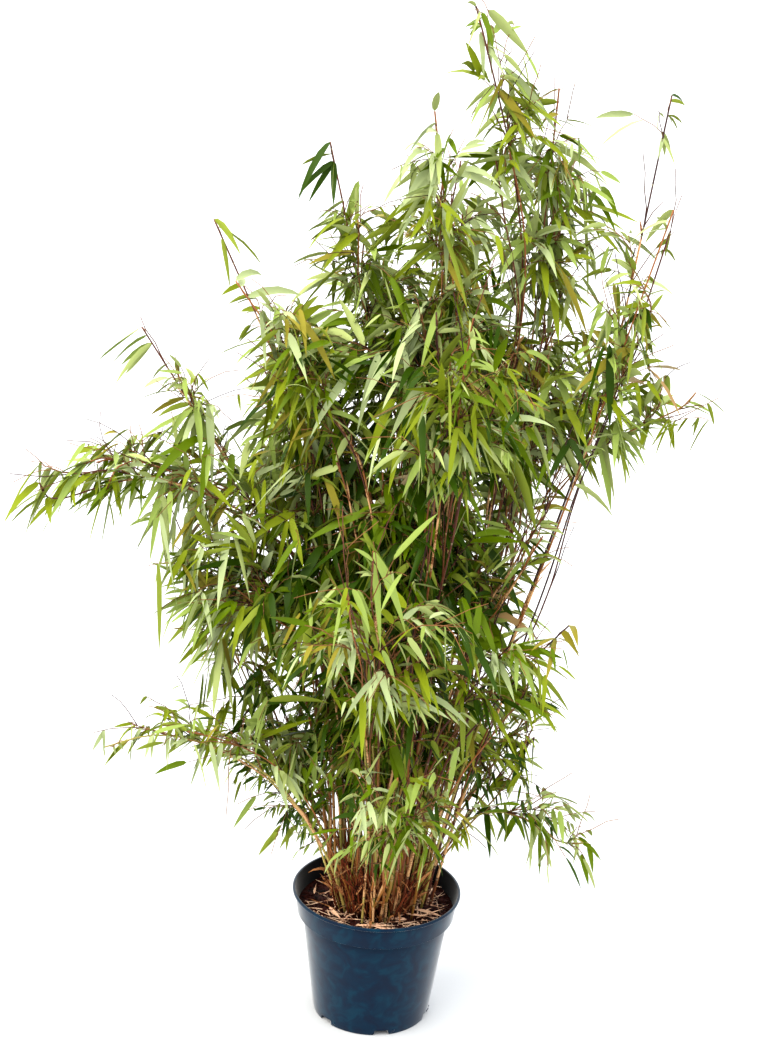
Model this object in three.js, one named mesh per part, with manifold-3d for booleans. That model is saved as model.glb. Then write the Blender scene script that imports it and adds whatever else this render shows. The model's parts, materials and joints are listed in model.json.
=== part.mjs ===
// Potted clumping bamboo: a fan of slender canes in a round nursery pot, each cane carrying
// a plume of foliage. Millimetres, +Z up, origin at the centre of the pot's flat underside.

import * as THREE from 'three';
import { mergeVertices } from 'three/addons/utils/BufferGeometryUtils.js';
import Module from 'manifold-3d';

const wasm = await Module();
wasm.setup();

// ---- driving dimensions -------------------------------------------------------------------

const GAP = 0.4;                    // clearance kept between neighbouring pieces

const POT_HEIGHT = 220;
const POT_RIM_RADIUS = 140;         // outside of the lip
const POT_COLLAR_RADIUS = 131;      // outside of the collar at its lower edge
const POT_COLLAR_HEIGHT = 40;
const POT_SHOULDER_RADIUS = 122;    // outside of the body just under the collar
const POT_BASE_RADIUS = 98;
const POT_BASE_ROUNDING = 7;
const POT_BASE_STEPS = 2;           // facets up the rounding of the bottom edge
const POT_LIP_HEIGHT = 4;
const POT_LIP_PROUD = 2;            // how far the lip stands out from the collar's wall
const POT_LEDGE = 2;                // rise of the sloping step from shoulder to collar
const POT_WALL = 2.4;
const POT_FLOOR = 3;
const POT_SIDES = 32;

const DRAIN_COUNT = 6;              // notches through the bottom edge
const DRAIN_TURN = 12;              // degrees that turn one of them right of the front
const DRAIN_WIDTH = 24;
const DRAIN_HEIGHT = 8;             // how high a notch is
const DRAIN_DEPTH = 9;              // how far a notch reaches in under the pot

const COMPOST_LEVEL = 190;
const COMPOST_EDGE = 1.5;           // what the compost keeps clear of the collar beside GAP

const CANE_FOOT_RADIUS = 3;
const CANE_TIP_RADIUS = 1.5;
const CANE_SIDES = 5;
const CANE_JOINTS = 6;              // straight stretches of a cane that ends in a plume's root
const LEADER_JOINTS = 8;            // straight stretches of a cane that runs up through the plumes
const CANE_UPRIGHT = 0.8;           // how strongly a cane leaves the compost upright
const CANE_PULL = 1 / 3;            // reach of its bends, as a share of the way to the plume
const CANE_RISE_STEPS = 4;
const CANE_END = [0.25];            // places on the plume's spine that a cane goes on through
const LEADER_END = [0.3, 0.55, 0.8];
const CLUMP_RADIUS = 118;           // the canes' feet stay inside this circle
const CLUMP_SPREAD = 150;           // how slowly the feet move out as their plumes do

const PLUME_SIDES = 7;
const PLUME_RINGS = 7;
const PLUME_BLUNTNESS = 0.8;        // 1 has pointed ends, 0.5 round ones
const PLUME_LUMP = 0.13;            // unevenness, as a share of a plume's half-width
const LUMPS = [                     // waves round and along a plume, and each plume's own shift
  { around: 3, along: 7, shiftAround: 2.1, shiftAlong: 1 },
  { around: 2, along: 11, shiftAround: -1.3, shiftAlong: 3.6 },
];
const SPINE_STEP = 0.02;            // share of the length over which a spine's direction is taken

// A plume runs from its root to its tip. wide is its half-width level with the ground, thick its
// half-width square to that, arch the rise of its middle above the straight line, and full the
// place of its widest ring, from 0 at the root to 1 at the tip. A leader's cane runs on inside,
// up through the plumes on its way, and a threaded plume hangs on those leaders alone.
const PLUMES = [
  { name: 'heart_low', root: [5, 0, 285], tip: [-10, 10, 670], wide: 120, thick: 104, arch: 0, full: 0.6 },
  { name: 'heart_mid', root: [10, 0, 620], tip: [5, 0, 980], wide: 145, thick: 130, arch: 0, full: 0.5, threaded: true },
  { name: 'heart_high', root: [45, 0, 930], tip: [55, -10, 1240], wide: 150, thick: 125, arch: 0, full: 0.5, threaded: true },
  { name: 'crown_left', root: [80, -40, 1150], tip: [22, -40, 1492], wide: 92, thick: 70, arch: 0, full: 0.45, leader: true },
  { name: 'crown_right', root: [192, 60, 1110], tip: [206, 60, 1528], wide: 100, thick: 72, arch: 0, full: 0.5, leader: true },
  { name: 'crown_tip', root: [165, 15, 1330], tip: [73, 0, 1640], wide: 58, thick: 60, arch: 12, full: 0.42, leader: true },
  { name: 'crown_back', root: [40, 160, 1040], tip: [70, 210, 1400], wide: 105, thick: 76, arch: 0, full: 0.45 },
  { name: 'right_spire', root: [322, -10, 1180], tip: [366, 0, 1530], wide: 32, thick: 30, arch: 0, full: 0.4, leader: true },
  { name: 'right_shoulder', root: [268, -50, 955], tip: [376, -60, 1372], wide: 78, thick: 58, arch: 0, full: 0.45, leader: true },
  { name: 'right_wing', root: [275, 30, 955], tip: [462, 10, 1075], wide: 92, thick: 66, arch: 15, full: 0.5, leader: true },
  { name: 'right_heart', root: [195, 40, 850], tip: [215, 50, 1205], wide: 125, thick: 95, arch: 0, full: 0.5, threaded: true },
  { name: 'right_waist', root: [128, 0, 685], tip: [228, -70, 910], wide: 82, thick: 58, arch: 0, full: 0.5 },
  { name: 'right_flank', root: [104, -120, 520], tip: [266, -160, 760], wide: 88, thick: 70, arch: 10, full: 0.6 },
  { name: 'right_back', root: [140, 190, 740], tip: [240, 300, 1120], wide: 100, thick: 80, arch: 0, full: 0.5 },
  { name: 'low_right', root: [94, 40, 275], tip: [240, 60, 535], wide: 90, thick: 66, arch: 0, full: 0.55 },
  { name: 'low_right_arm', root: [145, -60, 385], tip: [345, -90, 285], wide: 66, thick: 42, arch: 60, full: 0.6 },
  { name: 'left_crown', root: [-18, 60, 990], tip: [-132, 60, 1432], wide: 100, thick: 78, arch: 0, full: 0.45, leader: true },
  { name: 'left_spire', root: [-150, 20, 1000], tip: [-300, 20, 1312], wide: 34, thick: 30, arch: 0, full: 0.35, leader: true },
  { name: 'left_fan', root: [-70, -60, 990], tip: [-258, -50, 1232], wide: 85, thick: 62, arch: 0, full: 0.5, leader: true },
  { name: 'left_horn', root: [-240, 40, 880], tip: [-410, 40, 1138], wide: 46, thick: 38, arch: 0, full: 0.45, leader: true },
  { name: 'left_heart', root: [-105, 60, 710], tip: [-160, 70, 1110], wide: 120, thick: 92, arch: 0, full: 0.5, threaded: true },
  { name: 'left_arm', root: [-180, -10, 815], tip: [-612, -60, 815], wide: 95, thick: 64, arch: 100, full: 0.42, leader: true },
  { name: 'left_flank', root: [-75, -30, 640], tip: [-356, -40, 800], wide: 110, thick: 118, arch: 0, full: 0.55 },
  { name: 'left_back', root: [-110, 190, 680], tip: [-225, 290, 1060], wide: 115, thick: 82, arch: 0, full: 0.5 },
  { name: 'low_left', root: [-70, 30, 262], tip: [-272, 50, 650], wide: 96, thick: 106, arch: -22, full: 0.46 },
  { name: 'low_left_arm', root: [-130, -90, 400], tip: [-450, -110, 478], wide: 65, thick: 54, arch: 76, full: 0.5 },
  { name: 'front_high', root: [60, -150, 900], tip: [90, -240, 1230], wide: 120, thick: 80, arch: 0, full: 0.45 },
  { name: 'front_mid', root: [-10, -150, 570], tip: [-30, -330, 900], wide: 140, thick: 95, arch: 0, full: 0.5 },
  { name: 'front_low', root: [22, -128, 290], tip: [22, -278, 550], wide: 118, thick: 70, arch: 8, full: 0.53 },
  { name: 'back_mid', root: [20, 200, 520], tip: [20, 350, 900], wide: 140, thick: 80, arch: 0, full: 0.5 },
  { name: 'back_low', root: [0, 100, 300], tip: [0, 270, 560], wide: 120, thick: 65, arch: 10, full: 0.55 },
];

// ---- materials ----------------------------------------------------------------------------

const finish = {
  pot: { color: 0x123a4c, roughness: 0.32, metalness: 0 },
  compost: { color: 0x3b2418, roughness: 0.95, metalness: 0 },
  cane: { color: 0x8f8048, roughness: 0.5, metalness: 0 },
  foliage: { color: 0x6d8a3c, roughness: 0.6, metalness: 0 },
};

// ---- solids -------------------------------------------------------------------------------

function toSolid(geometry) {
  const bare = geometry.clone();
  bare.deleteAttribute('normal');
  bare.deleteAttribute('uv');
  const merged = mergeVertices(bare, 1e-4);
  return new wasm.Manifold(new wasm.Mesh({
    numProp: 3,
    vertProperties: new Float32Array(merged.attributes.position.array),
    triVerts: new Uint32Array(merged.index.array),
  }));
}

function toMesh(name, solid, look) {
  const { vertProperties, triVerts } = solid.getMesh();
  const geometry = new THREE.BufferGeometry();
  geometry.setAttribute('position', new THREE.BufferAttribute(vertProperties, 3));
  geometry.setIndex(new THREE.BufferAttribute(triVerts, 1));
  geometry.computeVertexNormals();
  const mesh = new THREE.Mesh(geometry, new THREE.MeshStandardMaterial(look));
  mesh.name = name;
  return mesh;
}

function union(solids) {
  return solids.reduce((sum, solid) => sum.add(solid));
}

// The separate piece of a cut solid that scores highest.
function bestPiece(solid, score) {
  return solid.decompose().reduce((best, piece) => (score(piece) > score(best) ? piece : best));
}

function turned(profile) {
  const points = profile.map(([radius, height]) => new THREE.Vector2(radius, height));
  return toSolid(new THREE.LatheGeometry(points, POT_SIDES).rotateX(Math.PI / 2));
}

// ---- pot and compost ----------------------------------------------------------------------

const collarFoot = POT_HEIGHT - POT_COLLAR_HEIGHT;

// The rounding of a bottom edge, from the underside out and up to the wall.
function quarterRound(radius, rounding, steps) {
  return Array.from({ length: steps + 1 }, (_, i) => {
    const turn = (Math.PI / 2) * (i / steps - 1);
    return [radius - rounding + rounding * Math.cos(turn), rounding + rounding * Math.sin(turn)];
  });
}

function buildPot() {
  const shell = turned([
    [0, 0],
    ...quarterRound(POT_BASE_RADIUS, POT_BASE_ROUNDING, POT_BASE_STEPS),
    [POT_SHOULDER_RADIUS, collarFoot - POT_LEDGE],
    [POT_COLLAR_RADIUS, collarFoot],
    [POT_RIM_RADIUS, POT_HEIGHT - POT_LIP_HEIGHT],
    [POT_RIM_RADIUS, POT_HEIGHT],
    [POT_RIM_RADIUS - POT_LIP_PROUD - POT_WALL, POT_HEIGHT],
    [POT_COLLAR_RADIUS - POT_WALL, collarFoot + POT_LEDGE],
    [POT_SHOULDER_RADIUS - POT_WALL, collarFoot],
    [POT_BASE_RADIUS - POT_WALL, POT_BASE_ROUNDING],
    [POT_BASE_RADIUS - POT_BASE_ROUNDING, POT_FLOOR],
    [0, POT_FLOOR],
  ]);
  const notches = [];
  for (let i = 0; i < DRAIN_COUNT; i += 1) {
    const notch = new THREE.BoxGeometry(2 * DRAIN_DEPTH, DRAIN_WIDTH, 2 * DRAIN_HEIGHT);
    const turn = DRAIN_TURN + (360 * (i + 0.5)) / DRAIN_COUNT;
    notch.translate(POT_BASE_RADIUS, 0, 0).rotateZ(THREE.MathUtils.degToRad(turn));
    notches.push(toSolid(notch));
  }
  return shell.subtract(union(notches));
}

function buildCompost() {
  const inset = POT_WALL + GAP;
  const collarAtLevel = (COMPOST_LEVEL - collarFoot) / POT_COLLAR_HEIGHT;
  const topRadius = POT_COLLAR_RADIUS + (POT_RIM_RADIUS - POT_COLLAR_RADIUS) * collarAtLevel;
  return turned([
    [0, POT_FLOOR + GAP],
    [POT_BASE_RADIUS - POT_BASE_ROUNDING - DRAIN_DEPTH, POT_FLOOR + GAP],
    [POT_BASE_RADIUS - inset - DRAIN_DEPTH, DRAIN_HEIGHT + GAP],
    [POT_SHOULDER_RADIUS - inset, collarFoot],
    [POT_COLLAR_RADIUS - inset - COMPOST_EDGE, collarFoot + POT_LEDGE + COMPOST_EDGE],
    [topRadius - inset - COMPOST_EDGE, COMPOST_LEVEL],
    [0, COMPOST_LEVEL],
  ]);
}

// ---- plumes -------------------------------------------------------------------------------

// The point of a plume's bowed middle line at share s of its length.
function spine(plume, s) {
  const root = new THREE.Vector3(...plume.root);
  const tip = new THREE.Vector3(...plume.tip);
  const point = root.lerp(tip, s);
  point.z += plume.arch * 4 * s * (1 - s);
  return point;
}

function spineDirection(plume, s) {
  return spine(plume, s + SPINE_STEP).sub(spine(plume, s - SPINE_STEP)).normalize();
}

// How far the outside stands above or below its smooth form, from about -2 to 2.
function lumpiness(index, turn, s) {
  return LUMPS.reduce((sum, wave) => sum
    + Math.sin(wave.around * turn + wave.shiftAround * index)
    * Math.sin(wave.along * s + wave.shiftAlong * index), 0);
}

// A closed uneven form round the spine. grow swells it on all sides.
function plumeSolid(plume, index, grow = 0) {
  const geometry = new THREE.SphereGeometry(1, PLUME_SIDES, PLUME_RINGS);
  const position = geometry.attributes.position;
  const skew = Math.log(1 / 2) / Math.log(plume.full);
  for (let i = 0; i < position.count; i += 1) {
    const vertex = new THREE.Vector3().fromBufferAttribute(position, i);
    const s = (1 + vertex.y) / 2;
    const round = Math.max(0, Math.sin(Math.PI * s ** skew)) ** PLUME_BLUNTNESS;
    const turn = Math.atan2(vertex.z, vertex.x);
    const swell = round * (1 + PLUME_LUMP * lumpiness(index, turn, s));
    const along = spineDirection(plume, s);
    const level = new THREE.Vector3(plume.tip[0], plume.tip[1], 0).normalize();
    const across = new THREE.Vector3(-level.y, level.x, 0);
    across.addScaledVector(along, -across.dot(along)).normalize();
    const square = new THREE.Vector3().crossVectors(across, along);
    const point = spine(plume, s);
    point.addScaledVector(along, grow * (2 * s - 1));
    point.addScaledVector(across, Math.cos(turn) * (plume.wide * swell + grow * round));
    point.addScaledVector(square, Math.sin(turn) * (plume.thick * swell + grow * round));
    position.setXYZ(i, point.x, point.y, point.z);
  }
  return toSolid(geometry);
}

// ---- canes --------------------------------------------------------------------------------

// A cane rises from its foot, leaning out, and bends over into its plume's root. It goes on
// along the spine, a little way or, in a leader, nearly to the tip. The foot lies towards the
// root, drawn in to the clump, so that the canes fan out and none crosses another.
function canePath(plume) {
  const root = spine(plume, 0);
  const draw = CLUMP_RADIUS / (Math.hypot(root.x, root.y) + CLUMP_SPREAD);
  const foot = new THREE.Vector3(root.x * draw, root.y * draw, COMPOST_LEVEL + GAP);
  const chord = root.clone().sub(foot);
  const pull = chord.length() * CANE_PULL;
  const rising = chord.clone().normalize().add(new THREE.Vector3(0, 0, CANE_UPRIGHT)).normalize();
  const joining = chord.clone().normalize().add(spineDirection(plume, 0)).normalize();
  const knee = foot.clone().addScaledVector(rising, pull);
  const neck = root.clone().addScaledVector(joining, -pull);
  const rise = new THREE.CubicBezierCurve3(foot, knee, neck, root);
  const beyond = (plume.leader ? LEADER_END : CANE_END).map((s) => spine(plume, s));
  return new THREE.CatmullRomCurve3([...rise.getPoints(CANE_RISE_STEPS), ...beyond]);
}

function caneSolid(plume, grow = 0) {
  const joints = plume.leader ? LEADER_JOINTS : CANE_JOINTS;
  const geometry = new THREE.CylinderGeometry(1, 1, 1, CANE_SIDES, joints);
  const position = geometry.attributes.position;
  const path = canePath(plume);
  for (let i = 0; i < position.count; i += 1) {
    const s = position.getY(i) + 0.5;
    const radius = CANE_FOOT_RADIUS + (CANE_TIP_RADIUS - CANE_FOOT_RADIUS) * s + grow;
    const along = path.getTangentAt(s);
    if (s === 0) along.set(0, 0, 1);
    const across = new THREE.Vector3(0, 1, 0).cross(along).normalize();
    const square = new THREE.Vector3().crossVectors(along, across);
    const point = path.getPointAt(s);
    point.addScaledVector(along, s === 1 ? grow : 0);
    point.addScaledVector(across, radius * position.getZ(i));
    point.addScaledVector(square, radius * position.getX(i));
    position.setXYZ(i, point.x, point.y, point.z);
  }
  return toSolid(geometry);
}

// ---- assembly -----------------------------------------------------------------------------

const bamboo = new THREE.Group();
bamboo.add(toMesh('pot', buildPot(), finish.pot));
bamboo.add(toMesh('compost', buildCompost(), finish.compost));

const leaders = PLUMES.filter((plume) => plume.leader);
const leaderRoom = union(leaders.map((plume) => caneSolid(plume, GAP)));

let taken = leaderRoom;
PLUMES.forEach((plume, index) => {
  const cut = plumeSolid(plume, index).subtract(taken);
  const body = bestPiece(cut, (piece) => piece.volume());
  bamboo.add(toMesh(`foliage_${plume.name}`, body, finish.foliage));
  taken = taken.add(plumeSolid(plume, index, GAP));
});

PLUMES.filter((plume) => !plume.threaded).forEach((plume) => {
  const cane = plume.leader ? caneSolid(plume) : caneSolid(plume).subtract(taken);
  const body = bestPiece(cane, (piece) => -piece.boundingBox().min[2]);
  bamboo.add(toMesh(`cane_${plume.name}`, body, finish.cane));
});

export default bamboo;
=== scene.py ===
"""Potted clumping bamboo: the finished surfaces, built round the plant's CAD frame.

The frame gives the pot, the compost, the canes and one solid for each plume of foliage. This
file replaces them with a moulded pot, bark compost and litter, jointed canes with their dry
sheaths, and twigs and leaves that grow on from the canes by a seeded branching rule.
"""

import functools
import json
import math

import bpy
import numpy as np
from bpy.props import FloatProperty, FloatVectorProperty, IntProperty, PointerProperty
from mathutils import Matrix, Vector
from mathutils.kdtree import KDTree

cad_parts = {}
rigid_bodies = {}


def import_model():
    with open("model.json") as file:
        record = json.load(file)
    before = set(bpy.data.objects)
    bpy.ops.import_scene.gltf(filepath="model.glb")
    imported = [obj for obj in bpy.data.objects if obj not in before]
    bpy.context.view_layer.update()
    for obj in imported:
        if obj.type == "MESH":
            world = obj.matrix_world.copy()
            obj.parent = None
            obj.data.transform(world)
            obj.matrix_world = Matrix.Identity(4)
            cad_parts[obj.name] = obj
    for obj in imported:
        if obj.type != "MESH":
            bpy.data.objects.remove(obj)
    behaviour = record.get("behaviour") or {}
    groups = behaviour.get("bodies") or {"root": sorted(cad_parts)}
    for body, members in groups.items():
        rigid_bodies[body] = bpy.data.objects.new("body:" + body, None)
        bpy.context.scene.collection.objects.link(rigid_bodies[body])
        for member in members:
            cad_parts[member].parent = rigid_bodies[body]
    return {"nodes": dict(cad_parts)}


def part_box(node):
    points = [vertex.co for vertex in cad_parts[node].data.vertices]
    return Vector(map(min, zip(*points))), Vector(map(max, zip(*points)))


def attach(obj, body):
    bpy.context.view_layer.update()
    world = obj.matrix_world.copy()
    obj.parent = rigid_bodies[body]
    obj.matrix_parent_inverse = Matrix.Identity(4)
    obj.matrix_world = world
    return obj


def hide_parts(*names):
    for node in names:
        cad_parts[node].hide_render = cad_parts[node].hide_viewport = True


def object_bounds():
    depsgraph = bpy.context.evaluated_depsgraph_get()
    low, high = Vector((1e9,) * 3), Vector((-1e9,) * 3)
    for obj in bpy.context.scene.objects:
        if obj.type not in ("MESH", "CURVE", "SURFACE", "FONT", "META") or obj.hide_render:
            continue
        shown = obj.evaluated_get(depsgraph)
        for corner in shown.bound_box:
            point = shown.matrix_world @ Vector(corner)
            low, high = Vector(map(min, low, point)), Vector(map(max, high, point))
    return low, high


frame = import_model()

bl_info = {
    "name": "Potted Bamboo",
    "version": (1, 0, 0),
    "blender": (4, 5, 0),
    "location": "3D View > Sidebar > Bamboo",
    "description": "Grows a potted clumping bamboo round its CAD frame",
    "category": "Object",
}

CAD_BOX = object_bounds()
BOX_LOW, BOX_HIGH = np.array(CAD_BOX[0]), np.array(CAD_BOX[1])
ROOM = 0.03 * (BOX_HIGH - BOX_LOW) + 0.004     # how far outside the box a leaf may reach
UP = np.array([0.0, 0.0, 1.0])
SEED = 12
LINE_POINTS = 60                   # points on every cane's and every plume's middle line
PLUME_TRIES = 4000                 # random points tried for the filling of a plume
RING_REACH = 0.009                 # wider than a CAD cane's ring, less than the gap to the next
CLUMP_RADIUS = 0.094               # the canes' feet stay inside this circle
ROOT_ROOM = 0.06                   # a CAD cane's line is dropped this close to its plume's root
CANE_FOOT = 0.0025                 # radius of a leader at its foot
CANE_TIP = 0.0013                  # and of every cane at its tip
CANE_WANDER = 0.012                # how far a slender cane strays from its even line
SPIRE_WIDTH = 0.045                # a plume with less half-width has its leader alone
CANE_HINT = np.array([0.0, 1.0, 0.1])                     # where a cane's first facet looks
JOINT_SWELLING = 0.22              # of a cane's radius
JOINT_REACH = 0.0018               # how far along the cane the swelling goes
TIP_TWIG = np.array([0.035, 0.017, 0.0])   # a leafy cane tip's start, bend and end, from the tip
TWIG_END = 0.0006                  # radius of every twig at its end
BRANCH_TWIG = 0.0013               # most that a branch twig's radius can be where it starts
SIDE_TWIG = 0.0008                 # radius of a side twig where it starts
BARE_SHOOT = 0.001                 # and of a bare shoot
LEAF_STATIONS = np.array([0.08, 0.28, 0.55, 0.8])         # rings along a blade
LEAF_SCALES = (0.3, 1.75)          # the smallest and the largest leaf, beside a middling one
BLADE_THICKNESS = 0.0005
BLADE_EDGE = math.radians(75)      # a blade's margins are sharp, its midrib is not
POT_INSIDE = 0.122                 # what lies on the compost stays inside this circle
STUD = 0.0026                      # radius of the studs beside a drain notch
STUD_PLACES = ((0.0165, 0.0046), (0.0205, 0.0078))     # along the edge from a notch's middle, up
SHEATH_PROUD = 0.00045             # how far a sheath stands off its cane
THATCH_RADIUS = 0.066              # the dead twigs stand inside this circle
OLD_RADIUS = 0.075                 # and the dead sheaths inside this one
SOFTBOX_ANGLE = math.radians(60)   # how wide a softbox looks from the plant

LEAF_TINTS = (("shaded", 0.42), ("deep", 0.44), ("green", 0.46), ("fresh", 0.46), ("olive", 0.5),
              ("pale", 0.5), ("dry", 0.6))                # each with its roughness
UNDERSIDES = ("dull_underside", "pale_underside", "dry_underside")
UNDERSIDE_ROUGHNESS = 0.62
OUTER_SHARES = (0.02, 0.13, 0.25, 0.31, 0.1, 0.19)       # of the tints but dry, at the outside; the paler ones are painted light
INNER_SHARES = (0.58, 0.27, 0.08, 0.0, 0.07, 0.0)         # and in the middle of the plant; the darker ones are painted shade
PLANT_MIDDLE = np.array([0.0, 0.03, 0.66])                # the middle of the leafy part
PLANT_HALF = np.array([0.27, 0.38, 0.8])                  # half its width, depth and height
LOW_SHADE = 0.55                   # how deep in the plant its lowest leaves count as, for their painted shade
STRAY = 0.042                      # how far a leaf's tip may hang out of its plume
LOW_LEAVES = (0.34, 0.72, 0.16)    # from this height to this, and how far to the side
LEAF_REACH = 0.022                 # how far twigs stop short of the outside of their plume
# How leafy the open plumes are, beside 1 for the densest.
DENSITY = {"crown_left": 0.36, "crown_right": 0.5, "crown_tip": 0.55, "crown_back": 0.32,
           "right_spire": 0.16, "right_shoulder": 0.36, "right_wing": 0.14, "right_heart": 0.42,
           "right_waist": 0.34, "right_flank": 0.3, "right_back": 0.2, "low_right": 0.4,
           "low_right_arm": 0.45, "left_crown": 0.34, "left_spire": 0.28, "left_fan": 0.56,
           "left_horn": 0.5, "left_arm": 0.42, "left_flank": 0.52, "left_back": 0.35,
           "left_heart": 0.54, "low_left": 0.48, "low_left_arm": 0.36, "front_high": 0.32,
           "front_mid": 0.2, "front_low": 0.2, "back_mid": 0.35, "back_low": 0.35,
           "heart_low": 0.95, "heart_mid": 0.8, "heart_high": 0.85}
LEAF_GROUPS = ("crown", "right", "left", "heart", "low", "front", "back")

PLUME_NODES = sorted(name for name in frame["nodes"] if name.startswith("foliage_"))
CANE_NODES = sorted(name for name in frame["nodes"] if name.startswith("cane_"))
POT_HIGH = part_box("pot")[1]
COMPOST_LOW, COMPOST_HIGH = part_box("compost")


# ---- small tools --------------------------------------------------------------------------

def linear(hex_colour):
    """An sRGB hex colour as linear red, green and blue."""
    srgb = np.array([int(hex_colour[i:i + 2], 16) for i in (1, 3, 5)]) / 255
    return tuple(np.where(srgb <= 0.04045, srgb / 12.92, ((srgb + 0.055) / 1.055) ** 2.4))


def unit(vectors):
    """Vectors scaled to length 1."""
    return vectors / np.maximum(np.linalg.norm(vectors, axis=-1, keepdims=True), 1e-9)


def square_to(vectors, axis):
    """The unit part of each vector that is square to its unit axis."""
    return unit(vectors - axis * np.sum(vectors * axis, -1, keepdims=True))


def smoothstep(low, high, value):
    """0 below low, 1 above high, and 3t^2 - 2t^3 between them."""
    t = np.clip((value - low) / (high - low), 0, 1)
    return t * t * (3 - 2 * t)


def ripples(points, wavelength, seed, waves=9):
    """An uneven value from -1 to 1 at each point: the mean of sine waves of that length, each in
    a direction and phase of its own, made wider apart by the square root of their number."""
    random = np.random.default_rng(seed)
    directions = unit(random.normal(size=(waves, points.shape[-1])))
    lengths = wavelength * random.uniform(0.7, 1.4, waves)
    phases = random.uniform(0, 2 * math.pi, waves)
    sines = np.sin(2 * math.pi * (points @ directions.T) / lengths + phases)
    return np.clip(sines.sum(-1) / math.sqrt(waves), -1, 1)


def smooth_path(points, count):
    """The Catmull-Rom curve through the points, at count places spaced evenly along it."""
    padded = np.vstack([2 * points[0] - points[1], points, 2 * points[-1] - points[-2]])
    t = np.linspace(0, len(points) - 1, 12 * len(points))
    start = np.minimum(t.astype(int), len(points) - 2)
    f = (t - start)[:, None]
    p0, p1, p2, p3 = (padded[start + k] for k in range(4))
    curve = 0.5 * (2 * p1 + (p2 - p0) * f + (2 * p0 - 5 * p1 + 4 * p2 - p3) * f ** 2
                   + (3 * p1 - p0 - 3 * p2 + p3) * f ** 3)
    return resample(curve, count)


def resample(curve, count):
    """The same line through count points, spaced evenly along it."""
    travelled = path_length(curve)
    wanted = np.linspace(0, travelled[-1], count) if np.isscalar(count) else count
    return np.stack([np.interp(wanted, travelled, curve[:, k]) for k in range(3)], 1)


def path_length(curve):
    """How far along the curve each of its points lies."""
    steps = np.linalg.norm(np.diff(curve, axis=0), axis=1)
    return np.concatenate([[0], np.cumsum(steps)])


# ---- meshes from arrays -------------------------------------------------------------------

def build_object(name, vertices, face_sets, materials, face_materials=None, uv=None, tones=None,
                 smooth=True, sharp_angle=None):
    """A mesh object from whole arrays: face_sets are index arrays, one for each face size."""
    sizes = np.concatenate([np.full(len(faces), faces.shape[1]) for faces in face_sets])
    corners = np.concatenate([faces.ravel() for faces in face_sets]).astype(np.int32)
    mesh = bpy.data.meshes.new(name)
    mesh.vertices.add(len(vertices))
    mesh.vertices.foreach_set("co", vertices.astype(np.float32).ravel())
    mesh.loops.add(len(corners))
    mesh.loops.foreach_set("vertex_index", corners)
    mesh.polygons.add(len(sizes))
    mesh.polygons.foreach_set("loop_start", (np.cumsum(sizes) - sizes).astype(np.int32))
    mesh.polygons.foreach_set("use_smooth", np.full(len(sizes), smooth))
    for material in materials:
        mesh.materials.append(material)
    if face_materials is not None:
        mesh.polygons.foreach_set("material_index", face_materials.astype(np.int32))
    if uv is not None:
        layer = mesh.uv_layers.new(name="surface")
        layer.data.foreach_set("uv", uv[corners].astype(np.float32).ravel())
    for key, values in (tones or {}).items():
        attribute = mesh.attributes.new(key, "FLOAT", "POINT")
        attribute.data.foreach_set("value", values.astype(np.float32))
    mesh.update(calc_edges=True)
    mesh.validate()
    if sharp_angle is not None:
        mesh.set_sharp_from_angle(angle=sharp_angle)
    piece = bpy.data.objects.new(name, mesh)
    bpy.context.scene.collection.objects.link(piece)
    return piece


def place(piece, slot, nodes=()):
    """The piece rides on the plant and stands for the CAD nodes it hides; slot is not used."""
    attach(piece, "root")
    if nodes:
        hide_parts(*nodes)
    return piece


def grid_faces(rows, columns, wrap):
    """Quads of a grid of points, row by row. wrap joins the last column to the first."""
    row = np.arange(rows - 1)[:, None]
    column = np.arange(columns if wrap else columns - 1)[None, :]
    beside = (column + 1) % columns
    corners = np.broadcast_arrays(row * columns + column, row * columns + beside,
                                  (row + 1) * columns + beside, (row + 1) * columns + column)
    return np.stack(corners, -1).reshape(-1, 4)


def end_fans(rings, sides, first, last):
    """Triangles from a point at the first vertex to the first ring, and from one at the last
    vertex to the last ring."""
    around = np.arange(sides)
    beside = (around + 1) % sides
    top = (rings - 1) * sides
    return np.vstack([np.stack([np.full(sides, first), beside, around], 1),
                      np.stack([np.full(sides, last), top + around, top + beside], 1)])


def repeat_faces(faces, copies, stride):
    """The same faces for every copy, each copy's vertices stride further on."""
    return (faces[None] + (np.arange(copies) * stride)[:, None, None]).reshape(-1, faces.shape[1])


def turned_body(profile, steps):
    """A closed turned body: point(i, v) = (r_i cos v, r_i sin v, z_i). The profile starts and
    ends on the axis, where the grid closes in a fan of triangles."""
    angles = np.linspace(0, 2 * math.pi, steps, endpoint=False)
    inner = profile[1:-1]
    radius, height = inner[:, 0:1], inner[:, 1:2]
    ring = np.stack([radius * np.cos(angles), radius * np.sin(angles),
                     np.broadcast_to(height, (len(inner), steps))], -1).reshape(-1, 3)
    poles = np.array([[0, 0, profile[0, 1]], [0, 0, profile[-1, 1]]])
    fans = end_fans(len(inner), steps, len(ring), len(ring) + 1)
    return np.vstack([ring, poles]), [grid_faces(len(inner), steps, True), fans]


def rounded_profile(corners, steps=5):
    """A profile of radius and height with its corners rounded. Each corner is (radius, height,
    rounding): its stretch is the quadratic curve (1-t)^2 a + 2t(1-t) corner + t^2 b, where a and
    b lie the rounding's length before and after the corner."""
    points = np.array([corner[:2] for corner in corners])
    t = np.linspace(0, 1, steps)[:, None]
    outline = [points[:1]]
    for before, corner, after, rounding in zip(points, points[1:], points[2:],
                                               [c[2] for c in corners[1:-1]]):
        a = corner + unit(before - corner) * rounding
        b = corner + unit(after - corner) * rounding
        outline.append((1 - t) ** 2 * a + 2 * t * (1 - t) * corner + t ** 2 * b
                       if rounding else corner[None])
    outline.append(points[-1:])
    return np.vstack(outline)


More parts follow.
